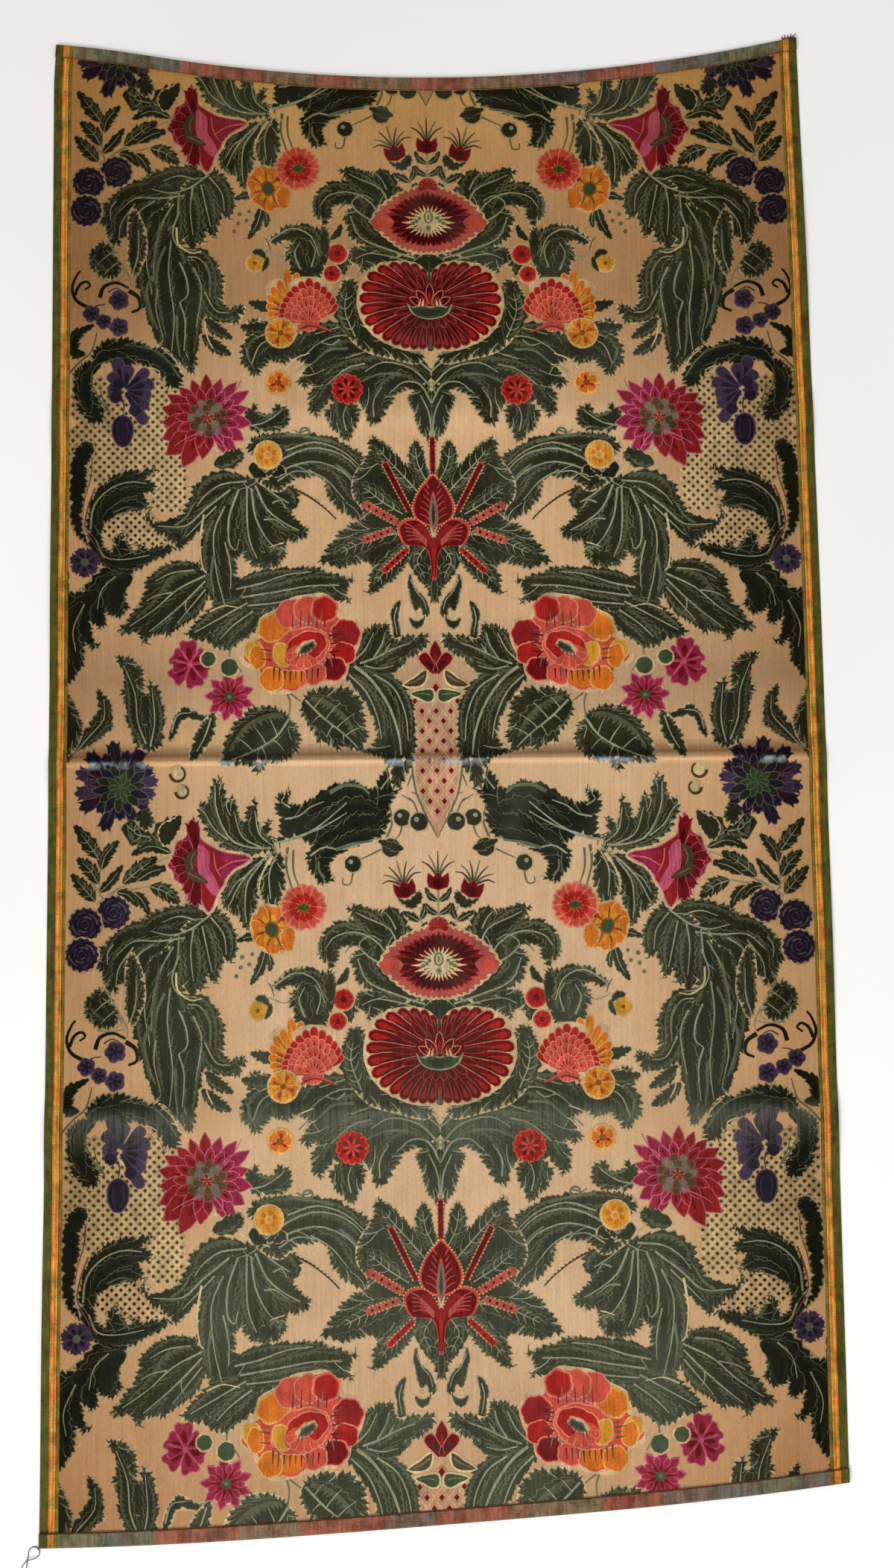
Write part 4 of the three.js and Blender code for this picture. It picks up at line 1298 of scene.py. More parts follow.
def peony():
    put(mass_edge(PEONY_EDGE, 1.8, 0), "halo")
    put(mass_edge(PEONY_EDGE, -1.5, 0), "coral")
    for x, y, wide, high, turn, tones, scallops in PEONY_LOBES:
        oval(x, y, wide, high, turn, tones, scallops, 0.1, 1.0)
    for k in range(9):
        x = -102 + k * 2.9
        stroke([(x, -424), (x + 0.4, -414.5 + (k % 3) * 1.4)], 1.2, "slate" if k % 2 else "claret", 0.4, 3)
    for k in range(9):
        x = -115 + k * 3.9
        stroke([(x, -452 - 0.2 * k), (x - 0.5, -461 - (k % 2) * 2)], 1.3, ("leaf", "umber", "maroon")[k % 3], 0.4, 3)
    for k in range(6):
        y = -427 - k * 3
        stroke([(-76, y), (-69 + (k % 2) * 1.6, y + 1)], 1.2, "maroon" if k % 2 else "dusk", 0.4, 3)
    for k in range(4):
        y = -437 - k * 3.4
        stroke([(-117, y), (-122 - (k % 2) * 2, y + 1)], 1.3, "umber" if k % 2 else "amber", 0.4, 3)
    for k in range(4):
        stroke([(-80 + 2.4 * k, -447 + 1.4 * k), (-79 + 2.8 * k, -455 + 1.2 * k)], 1.2, "maroon" if k % 2 else "slate", 0.4, 3)
    oval(-96, -439.5, 22, 15.5, 20, ("blush", "coral"), 9, 0.06, 1.1)
    oval(-109, -443.5, 7, 9.5, 20, ("peach", "gold"), 0, 0, 1.1)
    oval(-92, -437.5, 16, 11, 20, ("blush", "red"), 7, 0.07, 0.9)
    oval(-99, -444, 9, 7, 25, ("coral",), 0)
    for k in range(5):
        Spot(-94, -440).petal(205 + 26 * k, 5, 14, 2.8, "round", ("blush", "coral"), 0.7)
    oval(-92.5, -438.5, 9.2, 4.8, 32, ("blush", "straw"), 6, 0.15, 0.9)
    oval(-91.5, -438.8, 7.4, 3.4, 32, ("slate", "sheen", "leaf"), 5, 0.2, 0.8)
    for k in range(5):
        stroke([(-97.4 + 2.5 * k, -442.4 + 1.3 * k), (-98.4 + 2.8 * k, -447.5 + 1.4 * k)], 1.0, "umber", 0.4, 3)


def magenta_flowers():
    spot = Spot(-175, -450)
    spot.disc(14, "halo", 16)
    for turn, reach, half in ((95, 18, 6.4), (35, 14, 6), (-20, 15, 6.4), (-75, 17, 6.4), (-140, 17, 6.6), (150, 15, 6.4), (185, 13, 5)):
        spot.petal(turn, 0, reach, half, "notch", ("rose", "magenta", "claret"), 0.9)
        spot.petal(turn, 2, reach * 0.72, half * 0.34, "point", ("crimson",))
    for turn in (60, 5, -48, -108, 165, 120):
        spot.petal(turn, 1, 12, 0.7, "round", ("rose",))
    spot.disc(2, "rose", 7)
    spot = Spot(-147, -473, 10)
    spot.disc(14, "halo", 16)
    spot.ring(9, 1, 18, 4.2, "point", ("pink", "magenta", "claret"), 8, 1.2)
    spot.ring(9, 2, 13, 2.6, "tooth", ("rose", "magenta"), 28, 0.9)
    spot.ring(9, 2, 9, 1.1, "point", ("crimson",), 8)
    spot.disc(3.6, "green", 9)
    spot.disc(1.5, "moss", 6)
    for x, y, r in ((-162, -446, 5.5), (-147, -452, 6.5)):
        berry(x, y, r, "green", None)
    stems([(1, 147, 445, 146, 438, 140, 432), (1, 142, 450, 138, 456)], "moss")


def lower_leaves():
    mass([
        104, 489, 112, 482, 128, 480, 140, 488, 149, 502, 152, 521, 136, 521, 126, 528, 120, 520, 110,
        520, 101, 514, 97, 506, 99, 496,
    ], comb=2.4)
    mass([
        95, 476, 87, 468, 74, 467, 60, 469, 52, 480, 51, 492, 49, 502, 54, 513, 64, 509, 70, 512, 78, 506,
        83, 507, 89, 496, 95, 487,
    ], comb=2.4)
    lobes([
        (26, 9, 104, 490, 118, 494, 134, 502, 150, 520), (26, 9, 95, 476, 82, 484, 68, 494, 54, 510),
    ], depth=0.2)
    stems([(1.7, 104, 488, 114, 502, 130, 512, 145, 518), (1.7, 93, 476, 80, 489, 66, 500, 56, 510)])
    for base, tip in (((-113, -501), (-118, -490)), ((-121, -507), (-130, -494)), ((-130, -512), (-142, -502)), ((-116, -504), (-108, -512)),
                      ((-124, -509), (-120, -519)), ((-87, -482), (-80, -474)), ((-79, -490), (-68, -478)), ((-71, -496), (-58, -486)),
                      ((-82, -487), (-88, -492)), ((-73, -494), (-78, -502)), ((-66, -500), (-66, -508)), ((-64, -501), (-54, -496))):
        stroke([base, ((base[0] + tip[0]) / 2, (base[1] + tip[1]) / 2 + 1), tip], 1.0, "vein", 0.4, 4)
    stems([(1.4, 106, 471, 104, 478, 105, 489), (1.3, 104, 471, 100, 474, 96, 477)], "moss")
    mass([190, 504, 188, 492, 184, 484, 178, 480, 166, 486, 160, 484, 164, 490, 180, 489, 184, 498])
    mass([163, 488, 158, 482, 157, 496, 164, 510, 174, 519, 173, 504, 168, 494])
    stems([
        (1.2, 188, 498, 184, 486, 174, 484), (1.2, 160, 488, 164, 500, 170, 512),
        (1.2, 162, 486, 152, 478),
    ])
    mass([
        229, 446, 222, 443, 213, 448, 208, 456, 208, 466, 206, 472, 203, 461, 196, 470, 194, 486, 195,
        506, 204, 511, 214, 505, 218, 491, 212, 488, 220, 478, 224, 470, 219, 462, 220, 454,
    ])
    mass([
        242, 467, 236, 470, 230, 480, 232, 487, 229, 494, 234, 498, 243, 505, 256, 512, 262, 520, 258,
        505, 247, 492, 240, 480,
    ])
    mass([268, 462, 260, 472, 255, 482, 251, 494, 256, 508, 266, 512])
    lobes([
        (12, 5, 206, 506, 214, 490, 216, 470, 222, 448), (11, 5, 202, 508, 198, 492, 199, 478, 203, 464),
        (10, 4, 252, 508, 242, 498, 234, 488, 236, 474),
    ])
    stems([
        (1.3, 206, 506, 212, 490, 214, 470, 222, 450), (1.3, 203, 508, 200, 490, 202, 466),
        (1.3, 258, 514, 246, 500, 236, 488, 236, 474),
    ])


def column_acanthus():
    mass([
        60, 448, 53, 438, 52, 428, 45, 423, 34, 422, 30, 433, 18, 430, 4, 431, 10, 442, 20, 447, 24, 453,
        32, 457, 24, 468, 18, 480, 15, 495, 15, 512, 20, 528, 30, 540, 34, 524, 42, 516, 52, 514, 43, 505,
        44, 492, 48, 480, 56, 467, 66, 458,
    ])
    lobes([
        (14, 6, 60, 454, 44, 462, 30, 482, 27, 516), (12, 5, 62, 458, 50, 470, 40, 488, 38, 510),
        (12, 5, 42, 456, 28, 468, 20, 488, 20, 520), (12, 5, 56, 448, 50, 438, 46, 430, 42, 424),
        (12, 5, 52, 450, 42, 440, 38, 430, 34, 423), (12, 5, 46, 454, 32, 446, 20, 438, 7, 433),
        (10, 4, 44, 456, 34, 454, 28, 450, 24, 452),
    ])
    stems([
        (2.4, 58, 452, 46, 462, 34, 480, 27, 500, 25, 516), (1.4, 62, 458, 50, 470, 42, 488, 39, 504),
        (1.4, 44, 458, 30, 468, 22, 486, 20, 506), (1.3, 58, 448, 50, 440, 44, 428),
        (1.4, 54, 450, 42, 446, 30, 440, 18, 436), (1.2, 44, 446, 38, 436, 36, 428),
        (1.2, 36, 442, 32, 436), (1.2, 50, 452, 40, 454, 30, 452),
    ])
    for grow, tone in ((1.5, "cream"), (0, "umber")):
        put(mass_edge([(-6.5, -456), (-10, -457), (-15, -461), (-23, -466), (-14, -467), (-8, -464)], grow, 0), tone)
    for grow, tone in ((1.4, "cream"), (0, "green")):
        put(mass_edge([(-2.4, -470), (-8, -469.5), (-18, -472), (-12, -475), (-6, -478), (-2, -476)], grow, 0), tone)
    stems([(1.0, 8, 459, 14, 463, 20, 465), (0.9, 4, 473, 10, 472, 15, 472.6)], "sage")


def trellis_column():
    """The narrow trellis on the middle line, which ends in a point below."""
    outline = [(-17, -474), (-17, -500), (-14, -536), (-9, -553), (0, -573)]
    outline += [(-x, y) for x, y in outline[-2::-1]]
    put(np.array(outline) * (1.08, 1), "halo")
    put(outline, "shell")
    for row in range(13):
        y = -477.5 - row * 7.1
        wide = np.interp(-y, [474, 536, 556, 574], [17, 14, 8, 1])
        for k in range(-1, 2):
            x = (k - (1 - row % 2) / 2) * 10.1
            if abs(x) > wide - 1.5:
                continue
            for part in (-1, 1):
                stroke([(x, y + 7.1), (x + 5.05 * part, y)], 0.8, "straw", 1, 2)
                stroke([(x + 5.05 * part, y), (x, y - 7.1)], 0.8, "straw", 1, 2)
            put([(x - 1.9, y), (x, y - 2.3), (x + 1.9, y), (x, y + 2.3)], "crimson")
    stems([(1.6, 19, 515, 17, 530, 14, 545, 7, 560, 0, 574), (1.2, 18, 530, 21, 538)], "moss")
    put([(-3.8, -468), (0, -473), (3.8, -468), (0, -463)], "blush")
    put([(-2.4, -468), (0, -471.2), (2.4, -468), (0, -464.8)], "crimson")
    bud = Spot(0, -457)
    bud.petal(90, -1, 23, 5, "point", ("blush", "crimson", "claret"), 0.8)
    bud.petal(128, 0, 17, 4.6, "strap", ("blush", "crimson", "maroon"), 0.8)
    bud.petal(52, 0, 17, 4.6, "strap", ("blush", "crimson", "maroon"), 0.8)


MOTIFS = [
    (3, lattices), (3, trellis_column), (0, left_acanthus), (1, dark_arch), (1, left_scroll), (0, big_acanthus), (1, right_scroll),
    (2, dahlia), (3, bellflowers), (1, leafy_sprig), (3, purple_daisy), (3, rosettes), (0, leaves_right_of_trumpet),
    (2, trumpet), (1, dark_scroll), (3, tulips), (1, curled_acanthus), (3, small_reds), (3, daisies), (0, leaves_under_fan),
    (2, carnation), (2, diamond_flower), (2, fan_flower), (2, star_lily), (0, column_acanthus), (1, lower_leaves),
    (3, magenta_flowers), (2, peony),
]


def half_repeat():
    global group
    for group, motif in MOTIFS:
        motif()

# The whole drawing: both halves of every repeat that shows
GROUPS = ("pile_leaves", "pile_scrolls", "pile_flowers", "pile_small_flowers")
PARTS = ("lower", "upper")
TRIM = 0.25


def middle_line(y):
    """How far the pattern's middle line lies from X 0, since the cloth isn't quite square."""
    return 0.55 - 2.0 * ((y - 10) / 450) ** 2


def on_cloth(points, side, repeat):
    """A drawn outline, moved to its repeat and its half of the cloth."""
    x = np.minimum(points[:, 0], 0.01) * side
    y = points[:, 1] + repeat * REPEAT
    away = smoothstep(np.abs(x), 0, 60) if side < 0 else 0
    y = y - away * (0.3 + 0.9 * smoothstep(y, -40, 60))
    return np.c_[x * (LEFT_STRETCH if side > 0 else RIGHT_STRETCH) + middle_line(y), y]


def field_edge():
    """The closed line that bounds the pattern: hems above and below, selvedges at the sides."""
    inset = HEM_WIDTH + TRIM
    rows = np.linspace(BOTTOM_MIDDLE + inset, TOP_MIDDLE - inset, 90)
    left, right = side_edges(row_y(rows, 0))
    left, right = left + SELVEDGE_WIDTH, right - SELVEDGE_WIDTH
    part = np.linspace(0, 1, 60)[1:-1]
    low = left[0] + (right[0] - left[0]) * part
    high = left[-1] + (right[-1] - left[-1]) * part
    return np.vstack([
        np.c_[low, row_y(rows[0], low)],
        np.c_[right, row_y(rows, right)],
        np.c_[high, row_y(rows[-1], high)][::-1],
        np.c_[left, row_y(rows, left)][::-1],
    ])


def height_points():
    """Extra points that let the pile follow the fold lines and the lifted edges."""
    rows = list(np.arange(BOTTOM_MIDDLE, TOP_MIDDLE, 26))
    for place, _, above, below, _, sharp in FOLD_LINES:
        steps = np.array([0, 0.05, 0.12, 0.22, 0.36, 0.55, 0.78, 1]) if sharp else np.array([0.1, 0.3, 0.5, 0.75, 1])
        rows += list(place + steps * above) + list(place - steps * below)
    places = []
    for y in rows:
        near = min(abs(y - fold[0]) for fold in FOLD_LINES)
        spacing = 6 if near < 12 else 12 if near < 40 else 26
        x = np.arange(LEFT_EDGE, RIGHT_EDGE, spacing)
        places.append(np.c_[x, np.full(len(x), y)])
    return np.vstack(places)


def top_shapes(middles, shapes):
    """For each point, the number of the last shape that covers it, or -1."""
    order = np.argsort(middles[:, 1])
    ranked = middles[order]
    found = np.full(len(middles), -1)
    for number, outline in enumerate(shapes):
        low, high = outline.min(0), outline.max(0)
        start, stop = np.searchsorted(ranked[:, 1], (low[1], high[1]))
        near = np.arange(start, stop)
        x = ranked[start:stop, 0]
        near = near[(x > low[0]) & (x < high[0])]
        if len(near):
            hit = near[winding_inside(ranked[near], outline)]
            found[order[hit]] = number
    return found


def shapes_on_top(middles, shapes, edge):
    """The shape that each point shows, or -1 where it lies outside every shape or the field."""
    top = top_shapes(middles, shapes)
    parts = np.array_split(middles, max(1, len(middles) // POINTS_AT_ONCE))
    top[~np.concatenate([winding_inside(part, edge) for part in parts])] = -1
    return top


def flat_triangles(points, edges, nearness):
    """A flat triangulation that keeps the given edges, with every triangle turned the same way."""
    flat = [Vector(p) for p in points.tolist()]
    made = geometry.delaunay_2d_cdt(flat, edges.tolist(), [], 0, nearness, False)
    places = np.array([tuple(v) for v in made[0]])
    triangles = np.array(made[2])
    spans = places[triangles]
    area = np.cross(spans[:, 1] - spans[:, 0], spans[:, 2] - spans[:, 0])
    triangles[area < 0] = triangles[area < 0][:, ::-1]
    return places, triangles, np.abs(area)


def loop_edges(loops):
    """The edges of closed loops whose points are numbered one loop after another."""
    edges, start = [], 0
    for loop in loops:
        at = np.arange(len(loop))
        edges.append(np.c_[at, np.roll(at, -1)] + start)
        start += len(loop)
    return np.vstack(edges)


def directed_edges(triangles):
    """Each triangle's three edges, in its own turning direction."""
    return np.vstack([triangles[:, [0, 1]], triangles[:, [1, 2]], triangles[:, [2, 0]]])


def edge_keys(edges, size):
    """One number for each directed edge, and the number of the same edge run backwards."""
    return edges[:, 0] * size + edges[:, 1], edges[:, 1] * size + edges[:, 0]


def twins(key, back):
    """For each directed edge, the place of the edge that runs backwards along it, and whether there is one."""
    order = np.argsort(key)
    place = order[np.clip(np.searchsorted(key[order], back), 0, len(key) - 1)]
    return place, key[place] == back


def border_edges(triangles, labels):
    """The edges that part triangles of different labels, each once."""
    edges = directed_edges(triangles)
    twin, matched = twins(*edge_keys(edges, int(triangles.max()) + 1))
    own = np.tile(labels, 3)
    return edges[matched & (own[twin] != own) & (edges[:, 0] < edges[:, 1])]


def rim_edges(triangles):
    """The directed edges that only one triangle has."""
    edges = directed_edges(triangles)
    key, back = edge_keys(edges, int(triangles.max()) + 1)
    return edges[~np.isin(key, back)]


def rim_owner(triangles, rim):
    """The triangle that each rim edge belongs to."""
    size = int(triangles.max()) + 1
    key, _ = edge_keys(directed_edges(triangles), size)
    order = np.argsort(key)
    place = np.searchsorted(key[order], edge_keys(rim, size)[0])
    return order[place] % len(triangles)


def split_pinches(points, triangles, sources):
    """Gives each fan of triangles its own point where two fans only touch at a point."""
    rim = rim_edges(triangles)
    starts, counts = np.unique(rim[:, 0], return_counts=True)
    pinched = set(starts[counts > 1].tolist())
    around = {}
    for number, triangle in enumerate(triangles.tolist()):
        for v in triangle:
            if v in pinched:
                around.setdefault(v, []).append(number)
    for v, numbers in around.items():
        fans = []
        for number in numbers:
            ring = set(triangles[number].tolist()) - {v}
            joined = [fan for fan in fans if fan[0] & ring]
            fans = [fan for fan in fans if not fan[0] & ring]
            merged = [ring.union(*[fan[0] for fan in joined]), sum([fan[1] for fan in joined], [number])]
            fans.append(merged)
        if len(fans) < 2:
            continue
        home = np.array(points[v])
        for turn, (_, members) in enumerate(fans):
            middle = np.mean([points[corner] for corner in triangles[members].ravel()], axis=0)
            place = home + (middle - home) * PINCH_GAP / max(1e-6, np.linalg.norm(middle - home))
            if turn == 0:
                points[v] = place.tolist()
                continue
            for number in members:
                row = triangles[number]
                row[row == v] = len(points)
            points.append(place.tolist())
            sources.append(sources[v])
    return points, triangles, sources


def underplate(points, rim, loose):
    """Triangles that close a group of shapes from below. They use the rim's own points."""
    used = np.unique(rim)
    renumber = {int(v): n for n, v in enumerate(used)}
    flat = [Vector(points[v]) for v in used] + [Vector(p) for p in loose.tolist()]
    edges = [(renumber[int(a)], renumber[int(b)]) for a, b in rim]
    made = geometry.delaunay_2d_cdt(flat, edges, [], 0, SAME_PLACE, True)
    places = np.array([tuple(v) for v in made[0]])
    triangles = np.array(made[2])
    sources = np.array([ids[0] if ids else -1 for ids in made[3]])
    kept = np.array([edge for edge, ids in zip(made[1], made[4]) if ids])
    lookup = {}
    for number, source in enumerate(sources.tolist()):
        if 0 <= source < len(used):
            lookup.setdefault(source, number)
    inner = np.array([(lookup[renumber[int(a)]], lookup[renumber[int(b)]]) for a, b in rim])
    size = len(places)
    key, back = edge_keys(directed_edges(triangles), size)
    owner = np.tile(np.arange(len(triangles)), 3)
    twin, matched = twins(key, back)
    solid = np.isin(key, np.concatenate(edge_keys(kept, size)))
    faces_in = np.isin(key, edge_keys(inner, size)[0])
    state = np.zeros(len(triangles), int)
    state[owner[solid & ~faces_in]] = -1
    state[owner[solid & faces_in]] = 1
    state[owner[~matched & ~solid]] = -1
    links = ~solid & matched
    one, two = owner[links], owner[twin[links]]
    while True:
        fresh = (state[one] == 0) & (state[two] != 0)
        if not fresh.any():
            break
        state[one[fresh]] = state[two[fresh]]
    return places, triangles[state > 0], sources, used


def to_world(x, y, z):
    return np.c_[(x + SHIFT_X) / 1000, (y + SHIFT_Y) / 1000, z / 1000]


def bake_place(points, hidden):
    """Where points go in the baked picture: the front at full size, hidden faces small beside it."""
    part = (points - (LEFT_EDGE - BAKE_MARGIN_X, BOTTOM_MIDDLE - BAKE_MARGIN_Y)) / BAKE_SPAN
    return part * HIDDEN_SCALE + HIDDEN_CORNER if hidden else part


def mesh_object(name, points, faces, tones, material, plan):
    """A mesh object in metres, with a flat tone on each face and a plan for its baked picture."""
    mesh = bpy.data.meshes.new(name)
    mesh.from_pydata(points.tolist(), [], faces.tolist())
    mesh.materials.append(material)
    paint = mesh.color_attributes.new("tone", "FLOAT_COLOR", "CORNER")
    paint.data.foreach_set("color", np.repeat(tones, faces.shape[1], axis=0).astype(np.float32).ravel())
    sheet = mesh.uv_layers.new(name="OFBake")
    sheet.data.foreach_set("uv", plan.astype(np.float32).ravel())
    piece = bpy.data.objects.new(name, mesh)
    bpy.context.scene.collection.objects.link(piece)
    return piece


# The pile: how deep it is rooted in the ground, how far touching corners are pulled apart, the share of
# its height that is left at its edge, how far walls move inward in the baked picture, and the height of
# each tone that doesn't stand full
PILE_ROOT = 0.15
PINCH_GAP = 0.008
EDGE_SHARE = 0.45
WALL_BAKE = 0.15
HEIGHTS = {"halo": 0.22, "vein": 0.8, "moss": 0.86, "rim": 0.92, "maroon": 0.9}


def placed_shapes(edge):
    """Every outline of the drawing that shows on the cloth, with its tone and the number of its piece."""
    low, high = edge.min(0), edge.max(0)
    shapes, tones, numbers = [], [], []
    for repeat in (0, 1, 2):
        for side in (1, -1):
            for points, tone, motif_group in drawing:
                outline = on_cloth(points, side, repeat)
                if outline[:, 1].max() < low[1] or outline[:, 1].min() > high[1]:
                    continue
                shapes.append(outline)
                tones.append(tone)
                numbers.append(motif_group * len(PARTS) + min(repeat, 1))
    return shapes, tones, np.array(numbers)


def pile_pieces():
    """The pile as closed pieces. Their outlines are cut first, so that only edges between tones are kept."""
    edge = field_edge()
    shapes, tones, piece_number = placed_shapes(edge)
    tone_names = sorted(set(tones))
    tone_number = np.array([tone_names.index(t) for t in tones])
    tone_height = np.array([HEIGHTS.get(t, 1.0) for t in tone_names])
    tone_colour = np.array([linear(t) for t in tone_names])
    outlines = [*shapes, edge]
    places, triangles, _ = flat_triangles(np.vstack(outlines), loop_edges(outlines), OUTLINE_MERGE)
    top = shapes_on_top(places[triangles].mean(1), shapes, edge)
    labels = np.where(top < 0, -1, (piece_number * len(tone_names) + tone_number)[top])
    used, ends = np.unique(border_edges(triangles, labels), return_inverse=True)
    corners = np.vstack([places[used], height_points()])
    places, triangles, area = flat_triangles(corners, ends.reshape(-1, 2), CORNER_MERGE)
    top = shapes_on_top(places[triangles].mean(1), shapes, edge)
    top[area < NO_AREA] = -1
    piled = top >= 0
    face_tone = np.where(piled, tone_number[np.maximum(top, 0)], -1)
    face_height = np.where(piled, tone_height[np.maximum(face_tone, 0)], np.inf)
    vertex_height = np.full(len(places), np.inf)
    on_edge = np.zeros(len(places), bool)
    for corner in range(3):
        np.minimum.at(vertex_height, triangles[:, corner], face_height)
        on_edge[triangles[~piled][:, corner]] = True
    vertex_height[vertex_height > 1] = 1
    vertex_height[on_edge] *= EDGE_SHARE
    made = []
    for number, name in enumerate(f"{kind}_{part}" for kind in GROUPS for part in PARTS):
        mine = piled & (piece_number[np.maximum(top, 0)] == number)
        made.append(one_pile_piece(name, places, triangles[mine], tone_colour[face_tone[mine]], vertex_height))
    return made


def one_pile_piece(name, places, triangles, colours, vertex_height):
    """One closed piece of pile: its top, short walls down into the ground, and a plate below."""
    used = np.unique(triangles)
    renumber = np.full(len(places), -1)
    renumber[used] = np.arange(len(used))
    triangles = renumber[triangles]
    points, triangles, sources = split_pinches(places[used].tolist(), triangles, used.tolist())
    points, sources = np.array(points), np.array(sources)
    rim = rim_edges(triangles)
    loose = height_points()
    loose = loose[(loose > points.min(0)).all(1) & (loose < points.max(0)).all(1)]
    plate, under, plate_sources, rim_points = underplate(points, rim, loose)
    own = np.array([rim_points[s] if 0 <= s < len(rim_points) else -1 for s in plate_sources])
    extra = np.setdiff1d(np.unique(under), np.flatnonzero(own >= 0))
    low_of = np.full(len(points), -1)
    low_of[rim_points] = len(points) + np.arange(len(rim_points))
    number = np.where(own >= 0, low_of[own], -1)
    number[extra] = len(points) + len(rim_points) + np.arange(len(extra))
    under = number[under][:, ::-1]
    flat = np.vstack([points, points[rim_points], plate[extra]])
    sunk = GROUND_THICKNESS - PILE_ROOT
    top_height = GROUND_THICKNESS + PILE_HEIGHT * vertex_height[sources]
    height = np.concatenate([top_height, np.full(len(flat) - len(points), sunk)])
    world = to_world(flat[:, 0], flat[:, 1], height + lift(flat[:, 0], flat[:, 1]))
    a, b = rim[:, 0], rim[:, 1]
    walls = np.vstack([np.c_[b, a, low_of[a]], np.c_[b, low_of[a], low_of[b]]])
    owner = rim_owner(triangles, rim)
    faces = np.vstack([triangles, walls, under])
    tones = np.vstack([colours, colours[owner], colours[owner], np.tile(linear("back"), (len(under), 1))])
    way = flat[b] - flat[a]
    inward = way[:, ::-1] * (-1, 1) / np.maximum(np.linalg.norm(way, axis=1), 1e-6)[:, None] * WALL_BAKE
    top_plan = flat[triangles]
    wall_plan = np.vstack([
        np.stack([flat[b], flat[a], flat[a] + inward], 1),
        np.stack([flat[b], flat[a] + inward, flat[b] + inward], 1),
    ])
    plans = (bake_place(top_plan, False), bake_place(wall_plan, False), bake_place(flat[under], True))
    piece = mesh_object(name, world, faces, tones, velvet_material(name), np.vstack(plans))
    return piece


# The ground: one sheet whose ends turn over to the front as hems
# A hem's section: inset and height of its face side, then of its back side
HEM_SECTION = [
    (9.7, 1.3, 9.7, 2.15),
    (9.35, 1.26, 9.35, 2.4),
    (8.6, 1.24, 8.6, 2.46),
    (6.5, 1.24, 6.5, 2.4),
    (4.2, 1.24, 4.2, 2.42),
    (2.0, 1.2, 1.7, 2.42),
    (1.25, 1.14, 0.62, 2.2),
    (1.02, 1.06, 0.15, 1.72),
    (0.98, 0.99, 0.0, 1.2),
    (1.02, 0.93, 0.15, 0.62),
    (1.25, 0.9, 0.62, 0.16),
    (2.0, 0.9, 1.7, 0.0),
    (4.2, 0.9, 4.2, 0.0),
    (6.5, 0.9, 6.5, 0.0),
    (9.4, 0.9, 9.4, 0.0),
]
STRIPES = [(5.3, "olive"), (5.9, "rust"), (7.0, "stripe"), (8.0, "glow"), (9.6, "stripe"), (10.3, "glow"), (10.8, "line"),
           (12.9, "bronze")]
TOP_HEM = [(-262, "olive"), (-205, "sage"), (-178, "slate"), (-118, "brick"), (-84, "brown"), (-52, "brick"), (-12, "brown"),
           (28, "brick"), (70, "brown"), (120, "plum"), (168, "brick"), (215, "slate"), (262, "sage"), (300, "olive")]
BOTTOM_HEM = [(-262, "olive"), (-232, "sage"), (-206, "slate"), (-192, "sage"), (-140, "brick"), (-96, "brown"), (-40, "brick"),
              (-8, "plum"), (46, "brick"), (104, "brown"), (150, "brick"), (186, "plum"), (214, "slate"), (240, "sage"),
              (264, "slate"), (300, "olive")]


def sheet_stations():
    """Every line across the sheet, from one hem's raw edge round its fold to the other's."""
    bottom = [(BOTTOM_MIDDLE + a, b, BOTTOM_MIDDLE + c, d) for a, b, c, d in HEM_SECTION]
    top = [(TOP_MIDDLE - a, b, TOP_MIDDLE - c, d) for a, b, c, d in HEM_SECTION]
    rows = list(np.arange(BOTTOM_MIDDLE + 14, TOP_MIDDLE - 12, 7.0))
    for place, _, above, below, _, sharp in FOLD_LINES:
        steps = np.array([0, 0.04, 0.1, 0.2, 0.32, 0.46, 0.62, 0.8, 1]) if sharp else np.linspace(0.1, 1, 8)
        rows = [row for row in rows if not place - below <= row <= place + above]
        rows += list(place + steps * above) + list(place - steps[1 if sharp else 0 :] * below)
    middle = [(row, GROUND_THICKNESS, row, 0.0) for row in sorted(rows)]
    return np.array(bottom + middle + top[::-1])


def sheet_columns():
    """Insets from the left edge, and from the right one as negative numbers."""
    near = [0, 0.2, 0.8, 2.9] + [place for place, _ in STRIPES] + [17.0, 22.0]
    return near, [-inset for inset in near[::-1]]


def tone_at(table, x):
    for end, tone in table:
        if x < end:
            return tone
    return table[-1][1]


def sheet_layers(stations, near, far):
    """The sheet's face and its back, each as rows of x, y and height. The side edges are rounded."""
    layers = []
    for row, height in ((stations[:, 0], stations[:, 1]), (stations[:, 2], stations[:, 3])):
        left, right = side_edges(row_y(row, 0))
        start, stop = left + near[-1], right + far[0]
        inner = start[:, None] + (stop - start)[:, None] * np.linspace(0, 1, MIDDLE_SPANS + 1)[1:-1]
        x = np.hstack([left[:, None] + near, inner, right[:, None] + far])
        y = row_y(row[:, None], x)
        layers.append((x, y, height[:, None] + lift(x, y)))
    face, back = layers
    thick = face[2] - back[2]
    for column, share in ((0, EDGE_SQUEEZE), (1, EDGE_SQUEEZE / 3), (-2, EDGE_SQUEEZE / 3), (-1, EDGE_SQUEEZE)):
        squeeze = thick[:, column] * share
        face[2][:, column] -= squeeze
        back[2][:, column] += squeeze
    return face, back


def back_tones(stations, middle_x, stripe_names):
    """The tones of the sheet's back, row by row. Its turned hems show theirs on the front."""
    rows = []
    last = len(stations) - 2
    for i in range(last + 1):
        if stations[i, 3] + stations[i + 1, 3] > 2 * HEM_LEVEL:
            table = BOTTOM_HEM if stations[i, 0] < 0 else TOP_HEM
            raw = "line" if i in (0, last) else None
            rows.append([raw or over_stripe(name) or tone_at(table, x) for name, x in zip(stripe_names, middle_x)])
        else:
            rows.append([over_stripe(name) or "back" for name in stripe_names])
    return rows


